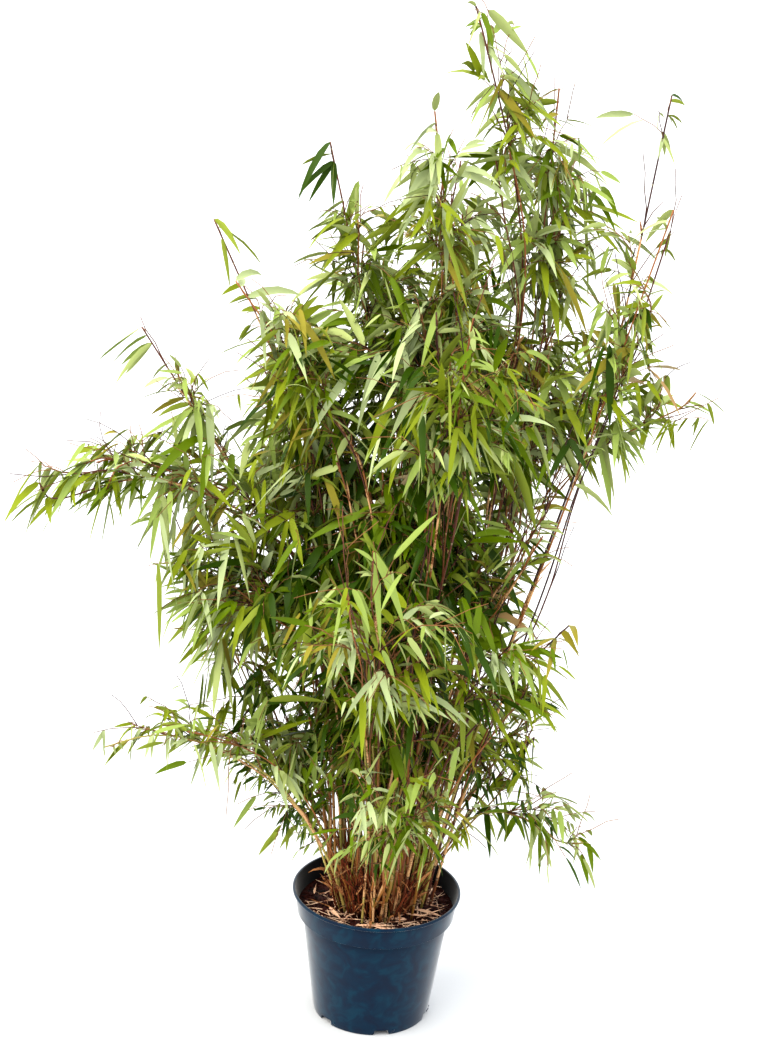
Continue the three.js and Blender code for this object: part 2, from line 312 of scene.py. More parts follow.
def tubes(paths, radii, sides, hint):
    """Closed round tubes: point(tube, i, j) = centre_i + radius_i (cos(2 pi j / sides) a_i +
    sin(2 pi j / sides) b_i), where a_i and b_i are square to the path, a_i nearest to hint. The
    ends close in a fan. Returns vertices, faces and, for each vertex, its tube and ring."""
    count, rings = radii.shape
    along = unit(np.gradient(paths, axis=1))
    across = square_to(np.broadcast_to(hint, paths.shape), along)
    square = np.cross(along, across)
    turn = np.linspace(0, 2 * math.pi, sides, endpoint=False)
    offset = np.cos(turn)[:, None] * across[:, :, None] + np.sin(turn)[:, None] * square[:, :, None]
    ring = (paths[:, :, None] + radii[:, :, None, None] * offset).reshape(count, -1, 3)
    ends = paths[:, [0, -1]]
    vertices = np.concatenate([ring, ends], 1).reshape(-1, 3)
    stride = rings * sides + 2
    faces = [repeat_faces(grid_faces(rings, sides, True), count, stride),
             repeat_faces(end_fans(rings, sides, stride - 2, stride - 1), count, stride)]
    ring_of = np.concatenate([np.repeat(np.arange(rings), sides), [0, rings - 1]])
    return vertices, faces, np.repeat(np.arange(count), stride), np.tile(ring_of, count)


def join(parts):
    """Several (vertices, face sets) as one, with the face sets of each size together."""
    offsets = np.cumsum([0] + [len(vertices) for vertices, _ in parts])
    sizes = sorted({faces.shape[1] for _, sets in parts for faces in sets})
    joined = [np.vstack([faces + offset for (_, sets), offset in zip(parts, offsets)
                         for faces in sets if faces.shape[1] == size]) for size in sizes]
    return np.vstack([vertices for vertices, _ in parts]), joined


# ---- materials ----------------------------------------------------------------------------
# A Mix node of colours takes its factor at input 0 and its two colours at inputs 6 and 7, and
# gives their blend at output 2. Its sockets for other types of data have the same names.

def add_node(tree, kind, values=None, links=None, stops=(), **properties):
    """Adds a shader node with its own properties, its input values, its input links and, for a
    colour ramp, its stops in order: each a place from 0 to 1 and a linear colour."""
    node = tree.nodes.new("ShaderNode" + kind)
    for key, value in properties.items():
        setattr(node, key, value)
    for key, value in (values or {}).items():
        node.inputs[key].default_value = value
    for key, source in (links or {}).items():
        tree.links.new(source, node.inputs[key])
    for order, (position, shade) in enumerate(stops):
        elements = node.color_ramp.elements
        element = elements[order] if order < len(elements) else elements.new(position)
        element.position = position
        element.color = opaque(shade)
    return node


def new_material(name, **values):
    """A material with one principled shader, and its node tree."""
    material = bpy.data.materials.new(name)
    material.use_nodes = True
    tree = material.node_tree
    shader = tree.nodes["Principled BSDF"]
    for key, value in values.items():
        shader.inputs[key.replace("_", " ")].default_value = value
    return material, tree, shader


def opaque(shade):
    """A linear colour with full alpha, as a socket wants it."""
    return (*shade, 1.0)


def moulded_polypropylene(settings):
    """Injection-moulded polypropylene, dyed petrol blue: faint flow marks from the mould, about
    30 mm across, a slightly uneven gloss and a film of fine dust, which shows pale where the wall
    turns away. Its inside wall is painted near-black, as painted shade."""
    material, tree, shader = new_material(
        "moulded_polypropylene", IOR=1.49, Specular_IOR_Level=0.08, Sheen_Weight=0.56,
        Sheen_Roughness=0.33)
    place_on = add_node(tree, "TexCoord").outputs["Object"]
    flow = add_node(tree, "TexNoise", {"Scale": 32.0, "Detail": 3.0, "Distortion": 1.2},
                    {"Vector": place_on}).outputs["Fac"]
    dye = add_node(tree, "ValToRGB", links={"Fac": flow}, stops=[
        (0.34, settings.pale_flow), (0.5, settings.body), (0.66, settings.dark_flow)])
    # The pot's inner side is mixed to a near-black colour: painted shade inside the pot.
    inside = add_node(tree, "Attribute", attribute_name="inside").outputs["Fac"]
    painted_inside_shade = add_node(tree, "Mix", {7: opaque(settings.painted_inside_shade)},
                      {0: inside, 6: dye.outputs["Color"]}, data_type="RGBA")
    gloss = add_node(tree, "MapRange", {"To Min": 0.24, "To Max": 0.4}, {"Value": flow})
    skin = add_node(tree, "TexNoise", {"Scale": 260.0, "Detail": 2.0}, {"Vector": place_on})
    relief = add_node(tree, "Bump", {"Strength": 0.12, "Distance": 0.0004},
                      {"Height": skin.outputs["Fac"]})
    tree.links.new(painted_inside_shade.outputs[2], shader.inputs["Base Color"])
    tree.links.new(gloss.outputs["Result"], shader.inputs["Roughness"])
    tree.links.new(relief.outputs["Normal"], shader.inputs["Normal"])
    return material


def bark_compost(settings):
    """Moist composted bark: dark, matt crumbs about 6 mm across, with near-black painted shade
    for the gaps between them, and drier, browner tops, in patches about 20 mm across."""
    material, tree, shader = new_material("bark_compost", Roughness=0.85, Specular_IOR_Level=0.08)
    place_on = add_node(tree, "TexCoord").outputs["Object"]
    crumbs = add_node(tree, "TexVoronoi", {"Scale": 170.0, "Randomness": 1.0},
                      {"Vector": place_on})
    damp = add_node(tree, "TexNoise", {"Scale": 45.0, "Detail": 5.0}, {"Vector": place_on})
    blend = add_node(tree, "Math", operation="ADD", links={
        0: crumbs.outputs["Distance"], 1: damp.outputs["Fac"]}).outputs["Value"]
    # The first stop, near-black, is painted shade for the gaps between the crumbs.
    earth = add_node(tree, "ValToRGB", links={"Fac": blend}, stops=[
        (0.45, settings.painted_gap_shade), (0.75, settings.damp_crumbs), (1.0, settings.dry_crumbs)])
    relief = add_node(tree, "Bump", {"Strength": 0.9, "Distance": 0.004}, {"Height": blend})
    tree.links.new(earth.outputs["Color"], shader.inputs["Base Color"])
    tree.links.new(relief.outputs["Normal"], shader.inputs["Normal"])
    return material


def fibrous(name, dark, light, roughness, tone=None):
    """A dry plant skin: dull, mottled by fibres drawn 3 mm wide, which is coarser than life, so
    that they show. From place to place it is darker or lighter in blotches about 25 mm wide, or
    by the piece's own tone where it has one."""
    material, tree, shader = new_material(name, Roughness=roughness, Specular_IOR_Level=0.15)
    place_on = add_node(tree, "TexCoord").outputs["Object"]
    if tone:
        own, darkest = add_node(tree, "Attribute", attribute_name=tone), 0.5
    else:
        own = add_node(tree, "TexNoise", {"Scale": 40.0, "Detail": 1.0}, {"Vector": place_on})
        darkest = 0.8
    fibres = add_node(tree, "TexNoise", {"Scale": 320.0, "Detail": 2.0},
                      {"Vector": place_on}).outputs["Fac"]
    both = add_node(tree, "Math", links={0: own.outputs["Fac"], 1: fibres}, operation="ADD")
    skin = add_node(tree, "ValToRGB", links={"Fac": both.outputs["Value"]},
                    stops=[(darkest, dark), (1.0, light)])
    relief = add_node(tree, "Bump", {"Strength": 0.35, "Distance": 0.0006}, {"Height": fibres})
    tree.links.new(skin.outputs["Color"], shader.inputs["Base Color"])
    tree.links.new(relief.outputs["Normal"], shader.inputs["Normal"])
    return material


def cane_skin(settings):
    """Living cane skin: a smooth waxy rind, from dark purple-brown to straw, with streaks about
    2 mm wide and 70 mm long, a dark scar at each joint and a pale bloom of wax just under it."""
    material, tree, shader = new_material("cane_skin", Roughness=0.42, Specular_IOR_Level=0.3)
    own = add_node(tree, "Attribute", attribute_name="cane_tone").outputs["Fac"]
    joint = add_node(tree, "Attribute", attribute_name="joint").outputs["Fac"]
    place_on = add_node(tree, "TexCoord").outputs["Object"]
    drawn = add_node(tree, "Mapping", {"Scale": (500.0, 500.0, 14.0)}, {"Vector": place_on})
    streaks = add_node(tree, "TexNoise", {"Scale": 1.0, "Detail": 3.0},
                       {"Vector": drawn.outputs["Vector"]})
    spread = add_node(tree, "MapRange", {"To Min": -0.16, "To Max": 0.16},
                      {"Value": streaks.outputs["Fac"]})
    tone = add_node(tree, "Math", links={0: own, 1: spread.outputs["Result"]}, operation="ADD")
    rind = add_node(tree, "ValToRGB", links={"Fac": tone.outputs["Value"]}, stops=[
        (0.0, settings.purple), (0.2, settings.brown), (0.42, settings.rust),
        (0.68, settings.green), (1.0, settings.straw)])
    bloom = add_node(tree, "MapRange", {"From Min": 0.3, "From Max": 1.0, "To Max": 0.4},
                     {"Value": joint})
    waxed = add_node(tree, "Mix", {7: opaque(settings.wax)},
                     {0: bloom.outputs["Result"], 6: rind.outputs["Color"]}, data_type="RGBA")
    scar = add_node(tree, "MapRange", {"From Min": 0.0, "From Max": -1.0}, {"Value": joint})
    scarred = add_node(tree, "Mix", {7: opaque(settings.scar)},
                       {0: scar.outputs["Result"], 6: waxed.outputs[2]}, data_type="RGBA")
    tree.links.new(scarred.outputs[2], shader.inputs["Base Color"])
    return material


def leaf_blade(name, shade, roughness):
    """A leaf blade: thin, satin and slightly waxy, with veins that run along it, drawn 2 mm
    apart, which is coarser than life, so that they show."""
    material, tree, shader = new_material(name, Roughness=roughness, IOR=1.42,
                                          Base_Color=opaque(shade), Specular_IOR_Level=0.12)
    surface = add_node(tree, "UVMap", uv_map="surface").outputs["UV"]
    veins = add_node(tree, "TexWave", {"Scale": 160.0, "Distortion": 0.4}, {"Vector": surface},
                     wave_type="BANDS", bands_direction="X")
    relief = add_node(tree, "Bump", {"Strength": 0.25, "Distance": 0.0002},
                      {"Height": veins.outputs["Fac"]})
    tree.links.new(relief.outputs["Normal"], shader.inputs["Normal"])
    return material


def studio_floor_paint(settings):
    """Painted studio floor: matt and pale grey, so that the studio's light brings it up to white,
    with a trace of roller texture about 11 mm across."""
    material, tree, shader = new_material("studio_floor_paint", Roughness=0.9,
                                          Base_Color=opaque(settings.paint), Specular_IOR_Level=0.2)
    place_on = add_node(tree, "TexCoord").outputs["Object"]
    roller = add_node(tree, "TexNoise", {"Scale": 90.0, "Detail": 2.0}, {"Vector": place_on})
    relief = add_node(tree, "Bump", {"Strength": 0.05, "Distance": 0.0005},
                      {"Height": roller.outputs["Fac"]})
    tree.links.new(relief.outputs["Normal"], shader.inputs["Normal"])
    return material


# ---- reading the frame --------------------------------------------------------------------

@functools.lru_cache(maxsize=None)
def node_surface(name):
    """A CAD node's distinct vertices and the corners of its triangles."""
    mesh = frame["nodes"][name].data
    points = np.empty(len(mesh.vertices) * 3, np.float32)
    mesh.vertices.foreach_get("co", points)
    points = points.reshape(-1, 3).astype(float)
    mesh.calc_loop_triangles()
    corners = np.empty(len(mesh.loop_triangles) * 3, np.int32)
    mesh.loop_triangles.foreach_get("vertices", corners)
    return np.unique(points.round(6), axis=0), points[corners].reshape(-1, 3, 3)


def cane_line(name):
    """The middle line of a CAD cane, foot first. Each ring's vertices lie closer together than
    the rings do, so the line goes from each ring's mean to the mean of the nearest ring left."""
    points = node_surface(name)[0]
    here = points[np.argmin(points[:, 2])]
    line = []
    while len(points):
        nearest = points[np.argmin(np.linalg.norm(points - here, axis=1))]
        ring = np.linalg.norm(points - nearest, axis=1) < RING_REACH
        here = points[ring].mean(0)
        points = points[~ring]
        if not line or np.linalg.norm(here - line[-1]) > RING_REACH:
            line.append(here)
    return np.array(line)


def inside(points, triangles):
    """Whether each point is inside a closed surface: the triangles' solid angles seen from it,
    2 atan2(a.(b x c), |a||b||c| + (a.b)|c| + (b.c)|a| + (c.a)|b|), add up to a full 4 pi."""
    a, b, c = (triangles[None, :, k] - points[:, None] for k in range(3))
    la, lb, lc = (np.linalg.norm(side, axis=-1) for side in (a, b, c))
    top = np.einsum("ijk,ijk->ij", a, np.cross(b, c))
    bottom = (la * lb * lc + np.einsum("ijk,ijk->ij", a, b) * lc
              + np.einsum("ijk,ijk->ij", b, c) * la + np.einsum("ijk,ijk->ij", c, a) * lb)
    return np.abs((2 * np.arctan2(top, bottom)).sum(1)) > 2 * math.pi


@functools.lru_cache(maxsize=None)
def plume_form(name):
    """What a plume's solid says: points that fill it evenly, its volume, its middle line from root
    to tip, through the filling's mean at four stations, and its half-width at the fullest, which
    is 1.2 times that of a rod of the same length and volume."""
    random = np.random.default_rng(SEED)
    corners, triangles = node_surface(name)
    low, high = corners.min(0), corners.max(0)
    tries = random.uniform(low, high, (PLUME_TRIES, 3))
    kept = np.concatenate([inside(block, triangles) for block in np.array_split(tries, 8)])
    filling = tries[kept]
    volume = np.prod(high - low) * kept.mean()
    clump = np.array([0, 0, COMPOST_HIGH[2]])
    tip = corners[np.argmax(np.linalg.norm(corners - clump, axis=1))]
    root = corners[np.argmax(np.linalg.norm(corners - tip, axis=1))]
    share = (filling - root) @ (tip - root) / np.sum((tip - root) ** 2)
    middle = []
    for station in (0.2, 0.4, 0.6, 0.8):
        weight = np.exp(-((share - station) / 0.08) ** 2)[:, None]
        middle.append((filling * weight).sum(0) / weight.sum())
    line = smooth_path(np.array([root, *middle, tip]), LINE_POINTS)
    half_width = math.sqrt(volume / path_length(line)[-1] / math.pi) * 1.2
    return {"name": name, "filling": filling, "line": line, "volume": volume,
            "half_width": half_width}


# ---- how the plant grows ------------------------------------------------------------------

def rising_line(root, ahead):
    """A cane that leaves the compost upright, from a foot drawn in to the clump, and bends over
    towards a point ahead of its plume's root: the cubic curve (1-t)^3 foot + 3t(1-t)^2 knee +
    3t^2(1-t) neck + t^3 root, up to t = 0.9."""
    reach = np.linalg.norm(root[:2])
    foot = np.array([*(root[:2] * CLUMP_RADIUS / (reach + 0.15)), COMPOST_HIGH[2]])
    chord = root - foot
    length = np.linalg.norm(chord)
    knee = foot + unit(unit(chord) + UP) * length / 3
    neck = root - unit(unit(chord) + unit(ahead - root)) * length / 3
    t = np.linspace(0, 0.9, 6)[:, None]
    low_half = (1 - t) ** 3 * foot + 3 * t * (1 - t) ** 2 * knee
    return low_half + 3 * t ** 2 * (1 - t) * neck + t ** 3 * root


def leading_line(form):
    """The line of a plume's first cane: along its CAD cane, or along a line of its own where it
    has none, on to the plume's root, and up its middle to the tip. A CAD cane that ends nearer to
    the tip than to the root goes straight on to the tip."""
    cane = form["name"].replace("foliage_", "cane_")
    middle = form["line"]
    root, tip = middle[0], middle[-1]
    if cane in frame["nodes"]:
        rise = cane_line(cane)
        if np.linalg.norm(rise[-1] - tip) < np.linalg.norm(rise[-1] - root):
            return smooth_path(np.vstack([rise, tip]), LINE_POINTS)
        rise = rise[np.linalg.norm(rise - root, axis=1) >= ROOT_ROOM]
    else:
        rise = rising_line(root, middle[5])
    return smooth_path(np.vstack([rise, root, middle[15:46:15], tip]), LINE_POINTS)


def companion_lines(form, leader, count, random):
    """Slimmer canes that rise beside a leader: its line plus a sideways offset that grows from
    the foot, b + (w - b) s^1.5, turns slowly round it, and stays inside the plume. Each strays a
    little, starts inside the clump and ends somewhat short of the leader."""
    s = np.linspace(0, 1, LINE_POINTS)[:, None]
    along = unit(np.gradient(leader, axis=0))
    across = square_to(np.broadcast_to([1.0, 0.0, 0.3], leader.shape), along)
    square = np.cross(along, across)
    lines = []
    for _ in range(count):
        begin = random.uniform(0.008, 0.022)
        end = form["half_width"] * random.uniform(0.35, 0.75)
        turn = random.uniform(0, 2 * math.pi) + random.uniform(-1, 1) * s
        offset = begin + (end - begin) * s ** 1.5
        line = leader + offset * (np.cos(turn) * across + np.sin(turn) * square)
        wander = np.stack([ripples(line, 0.35, random.integers(9999)) for _ in range(3)], 1)
        line = line + CANE_WANDER * smoothstep(0, 0.3, s) * wander
        line[:, 2] += leader[0, 2] - line[0, 2]
        reach = np.linalg.norm(line[0, :2])
        if reach > CLUMP_RADIUS:
            line[:, :2] += line[0, :2] * (CLUMP_RADIUS / reach - 1) * (1 - s) ** 3
        line = np.clip(line, BOX_LOW, BOX_HIGH)
        stations = np.linspace(0, random.uniform(0.72, 0.98), LINE_POINTS)
        lines.append(resample(line, stations * path_length(line)[-1]))
    return lines


def joint_places(length, random):
    """Where a cane's joints lie along it: some 50 mm apart at its foot, up to 120 mm apart in the
    middle and about 65 mm apart towards its tip."""
    places, place = [], random.uniform(0.01, 0.04)
    while place < length:
        places.append(place)
        rise = place / length
        step = 0.05 + 0.07 * smoothstep(0, 0.35, rise) - 0.055 * smoothstep(0.55, 1, rise)
        place += step * random.uniform(0.8, 1.2)
    return np.array(places)


@functools.lru_cache(maxsize=None)
def grow_canes(slender_share):
    """Every cane of the clump: its line and length, the places of its joints along it, its radius
    at the foot, its tone from dark to light, the number of the plume it serves and whether it is
    a leader."""
    random = np.random.default_rng(SEED + 1)
    canes = []
    for number, name in enumerate(PLUME_NODES):
        form = plume_form(name)
        leader = leading_line(form)
        litres = form["volume"] * 1000
        count = 0 if form["half_width"] < SPIRE_WIDTH else 1 + round(slender_share * litres)
        for order, line in enumerate([leader] + companion_lines(form, leader, count, random)):
            length = path_length(line)[-1]
            joints = joint_places(length, random)
            slim = 1.0 if order == 0 else random.uniform(0.65, 1.0)
            canes.append({
                "line": line, "length": length, "joints": joints, "foot": CANE_FOOT * slim,
                "tone": random.uniform(0, 1), "plume": number, "leader": order == 0,
            })
    return canes


def cane_radius(cane, distance):
    """A cane's radius some way along it: an even taper by 58 %, blended into the radius of the tip
    over the last part, with a slight swelling r (1 + a exp(-(d / b)^2)) at distance d from the
    nearest joint."""
    along = distance / cane["length"]
    radius = cane["foot"] * (1 - 0.58 * along)
    radius = CANE_TIP + (radius - CANE_TIP) * (1 - smoothstep(0.6, 1.05, along))
    gap = np.abs(distance[:, None] - cane["joints"][None]).min(1)
    return radius * (1 + JOINT_SWELLING * np.exp(-(gap / JOINT_REACH) ** 2))


def cane_stations(cane):
    """Where a cane's rings lie: close together at each joint, and every 22 mm between."""
    close = (cane["joints"][:, None] + np.array([-0.007, -JOINT_REACH, 0, JOINT_REACH])).ravel()
    wide = np.arange(0, cane["length"], 0.022)
    near = np.abs(wide[:, None] - cane["joints"][None]).min(1) < 0.011
    stations = np.concatenate([[0.0], close, wide[~near], [cane["length"]]])
    return np.unique(np.clip(stations, 0, cane["length"]).round(5))


def cane_mesh(canes, sides):
    """Round canes with their joints. Returns vertices, faces, each vertex's colour tone, darker
    high on the plant than at its foot, and its place by the joint: 1 just under it, -1 on its
    scar and 0 elsewhere."""
    parts, tones, marks = [], [], []
    for cane in canes:
        stations = cane_stations(cane)
        path = resample(cane["line"], stations)
        radius = cane_radius(cane, stations)
        vertices, faces, _, ring = tubes(path[None], radius[None], sides, CANE_HINT)
        gap = stations[:, None] - cane["joints"][None]
        gap = np.take_along_axis(gap, np.abs(gap).argmin(1)[:, None], 1)[:, 0]
        bloom = np.where((gap < 0) & (gap > -0.003), 1.0, 0.0)
        mark = np.where(np.abs(gap) < 0.0006, -1.0, bloom)
        low = 0.2 + 0.75 * cane["tone"]
        high = 0.05 + 0.45 * cane["tone"]
        tone = low + (high - low) * smoothstep(0.35, 0.75, path[:, 2])
        parts.append((vertices, faces))
        tones.append(tone[ring])
        marks.append(mark[ring])
    vertices, faces = join(parts)
    return vertices, faces, np.concatenate(tones), np.concatenate(marks)


def joint_table(canes):
    """Every joint of the canes as arrays: its point, the cane's direction there, its share of the
    cane's length and the cane's plume."""
    rows = []
    for cane in canes:
        joints, line = cane["joints"], cane["line"]
        ahead = resample(line, np.minimum(joints + 0.01, cane["length"]))
        behind = resample(line, np.maximum(joints - 0.01, 0))
        rows.append(np.column_stack([resample(line, joints), unit(ahead - behind),
                                     joints / cane["length"], np.full(len(joints), cane["plume"])]))
    table = np.vstack(rows)
    return {"point": table[:, :3], "along": table[:, 3:6], "share": table[:, 6],
            "plume": table[:, 7].astype(int)}


def curve_point(twigs, t):
    """The point of each twig's quadratic curve, (1-t)^2 start + 2t(1-t) bend + t^2 end."""
    return (1 - t) ** 2 * twigs["start"] + 2 * t * (1 - t) * twigs["bend"] + t ** 2 * twigs["end"]


def scatter(random, shape, flat=1.0):
    """Random vectors, normally spread, with their height multiplied by flat."""
    return random.normal(size=shape) * [1, 1, flat]


def pick_joints(ends, plume, joints, random):
    """The cane joint that each twig comes from, the one with the least cost: near, but not within
    50 mm, well below it, so that the twig leaves the cane at about 37 degrees, not in the lowest
    eighth of the cane, and if possible on a cane of its own plume."""
    gap = ends[:, None] - joints["point"][None]
    distance = np.maximum(np.linalg.norm(gap, axis=2), 1e-6)
    climb = np.einsum("ijk,jk->ij", gap, joints["along"]) / distance
    cost = distance + 0.09 * np.abs(climb - 0.8) + 0.05 * (plume[:, None] != joints["plume"][None])
    cost += 0.04 * smoothstep(0.05, 0.02, distance) + 0.2 * (joints["share"][None] < 0.12)
    cost += random.uniform(0, 0.04, cost.shape)
    return cost.argmin(1)


def cane_tips(canes, random):
    """The last stretch of every cane, as a twig that carries the leaves at its tip."""
    lines = np.array([resample(cane["line"], cane["length"] - TIP_TWIG) for cane in canes])
    out = unit(lines[:, 2] - lines[:, 0] + 0.6 * scatter(random, (len(canes), 3)))
    return {"start": lines[:, 0], "bend": lines[:, 1], "end": lines[:, 2],
            "plume": np.array([cane["plume"] for cane in canes]),
            "outward": unit(out * [1, 1, 0.3]), "length": np.full(len(canes), TIP_TWIG[0])}


def ends_in_plumes(sprays, random):
    """Points for leafy twigs to end at: each plume takes some of its filling's points, the more
    of them the larger and the denser it is, and rather those that lie far out and low. They are
    drawn in from the outside by up to LEAF_REACH and scattered a little. Returns the points, the
    way each lies off its plume's middle line, and its plume's number."""
    forms = [plume_form(name) for name in PLUME_NODES]
    room = np.array([form["volume"] ** 0.8 for form in forms])
    leafy = np.array([DENSITY[form["name"].replace("foliage_", "")] for form in forms])
    numbers = np.maximum(np.round(room / room.sum() * leafy * sprays).astype(int), 3)
    points, off = [], []
    for form, count in zip(forms, numbers):
        filling, half_width = form["filling"], form["half_width"]
        nearest = np.linalg.norm(filling[:, None] - form["line"][None], axis=2).argmin(1)
        beside = filling - form["line"][nearest]
        reach = np.linalg.norm(beside, axis=1) / half_width
        liking = (0.5 + np.minimum(reach, 1.2)) * (1.2 - 0.4 * nearest / LINE_POINTS)
        chosen = random.choice(len(filling), count, replace=count > len(filling),
                               p=liking / liking.sum())
        beside = beside[chosen]
        distance = np.linalg.norm(beside, axis=1, keepdims=True)
        draw = LEAF_REACH * half_width / (half_width + LEAF_REACH)
        draw = np.minimum(draw / np.maximum(distance, half_width * 0.5), 0.8)
        stray = scatter(random, (count, 3)) * min(0.2 * half_width, 0.024)
        points.append(filling[chosen] - beside * draw + stray)
        off.append(unit(beside))
    return np.vstack(points), np.vstack(off), np.repeat(np.arange(len(forms)), numbers)


def ends_low_down(joints, count, random):
    """Points for leafy twigs to end at, 10 to 50 mm outside the lower joints of the canes: each
    with the way out from the plant's axis and its cane's plume."""
    point = joints["point"]
    low = np.flatnonzero((point[:, 2] > LOW_LEAVES[0]) & (point[:, 2] < LOW_LEAVES[1])
                         & (np.abs(point[:, 0]) < LOW_LEAVES[2]))
    low = random.choice(low, count)
    away = unit(point[low] * [1, 1, 0] + 0.05 * scatter(random, (count, 3), 0))
    return point[low] + away * random.uniform(0.01, 0.05, (count, 1)), away, joints["plume"][low]


def branch_twigs(canes, sprays, low_sprays, random):
    """The twigs that grow from the canes: one from a cane joint to each end point, its curve
    starting nearly along the cane and ending leaning out, and one for every cane's tip. free is 1
    for those whose leaves may hang outside all the plumes: the low ones and the leaders' tips."""
    joints = joint_table(canes)
    groups = (ends_in_plumes(sprays, random), ends_low_down(joints, low_sprays, random))
    ends, off, plume = (np.concatenate(column) for column in zip(*groups))
    ends = np.clip(ends + UP * 0.03, BOX_LOW, BOX_HIGH)
    pick = pick_joints(ends, plume, joints, random)
    start, along = joints["point"][pick], joints["along"][pick]
    length = np.linalg.norm(ends - start, axis=1, keepdims=True)
    heading = unit(unit(ends - start) + 0.75 * along + 0.15 * UP)
    away = unit(ends * [1, 1, 0] - [0.02, 0, 0])
    outward = unit(away * 0.5 + off * [1, 1, 0.3] * 0.4 + 1.1 * scatter(random, ends.shape, 0.3))
    twigs = {"start": start, "bend": start + heading * length * 0.6, "end": ends, "plume": plume,
             "outward": outward, "length": length[:, 0]}
    tips = cane_tips(canes, random)
    twigs = {key: np.concatenate([twigs[key], tips[key]]) for key in twigs}
    leaders = [float(cane["leader"]) for cane in canes]
    in_plumes = len(ends) - low_sprays
    twigs["free"] = np.concatenate([np.zeros(in_plumes), np.ones(low_sprays), leaders])
    twigs["parent"] = np.arange(len(twigs["start"]))
    twigs["order"] = np.zeros(len(twigs["start"]))
    return twigs


def fork_twigs(main, tips, random):
    """Side twigs that fork from the branch twigs by turns to the left and right, up to four from
    each, two where it is short and none from the cane tips, which are its last ones. parent is
    the branch twig that each comes from."""
    count = len(main["start"])
    forks = random.choice([0, 1, 2, 3, 4], count, p=[0.1, 0.2, 0.35, 0.25, 0.1])
    forks = np.where(main["length"] < 0.05, np.minimum(forks, 2), forks)
    forks[-tips:] = 0
    parent = np.repeat(np.arange(count), forks)
    order = np.concatenate([np.arange(n) for n in forks])
    many = (len(order), 1)
    t = np.clip(0.88 - 0.19 * order + random.uniform(-0.08, 0.08, len(order)), 0.2, 0.95)[:, None]
    owner = {key: main[key][parent] for key in ("start", "bend", "end", "outward", "plume")}
    begin = curve_point(owner, t)
    run = unit(curve_point(owner, t + 0.02) - begin)
    sign = np.where(order % 2 == 0, 1.0, -1.0)[:, None]
    beside = unit(np.cross(run, UP + 0.6 * scatter(random, run.shape))) * sign
    way = unit(run + beside * random.uniform(0.5, 1.1, many) + 0.1 * UP)
    length = random.uniform(0.03, 0.09, many)
    sag = -UP * length * random.uniform(0.05, 0.35, many)
    end = np.clip(begin + way * length + sag, BOX_LOW - 0.4 * ROOM, BOX_HIGH + 0.4 * ROOM)
    outward = unit(owner["outward"] + 0.8 * way + 0.5 * scatter(random, run.shape, 0.3))
    return {"start": begin, "bend": begin + way * length * 0.55, "end": end,
            "plume": owner["plume"], "outward": outward, "length": length[:, 0],
            "free": np.zeros(len(order)), "parent": parent, "order": np.ones(len(order))}


def bare_shoots(joints, count, random):
    """Thin shoots that have not opened their leaves, as twigs: most in the upper half, each from
    a cane joint and nearly along the cane, leaning up and out."""
    high = smoothstep(0.3, 0.8, joints["share"]) + 0.02
    pick = random.choice(len(high), count, p=high / high.sum())
    start, along = joints["point"][pick], joints["along"][pick]
    length = random.uniform(0.05, 0.15, (count, 1))
    way = unit(along + 0.28 * scatter(random, start.shape) + 0.15 * UP)
    end = np.clip(start + way * length, BOX_LOW, BOX_HIGH)
    bend = start + unit(along + way) * length * 0.5
    return {"start": start, "bend": bend, "end": end, "length": length[:, 0]}


def twig_mesh(twigs, thick, sides, rings, random):
    """Thin twigs along their curves, with a small zigzag of about 1 mm, tapering evenly from their
    own radius to TWIG_END. Returns vertices, faces and each vertex's tone, one for each twig."""
    t = np.linspace(0, 1, rings)
    paths = curve_point(twigs, t[:, None, None]).transpose(1, 0, 2)
    zigzag = random.normal(size=paths.shape) * 0.0012
    zigzag[:, [0, -1]] = 0
    radii = thick[:, None] + (TWIG_END - thick[:, None]) * t[None]
    vertices, faces, twig, _ = tubes(paths + zigzag, radii, sides, np.array([0.3, 0.2, 1.0]))
    return vertices, faces, random.uniform(0, 1, len(thick))[twig]


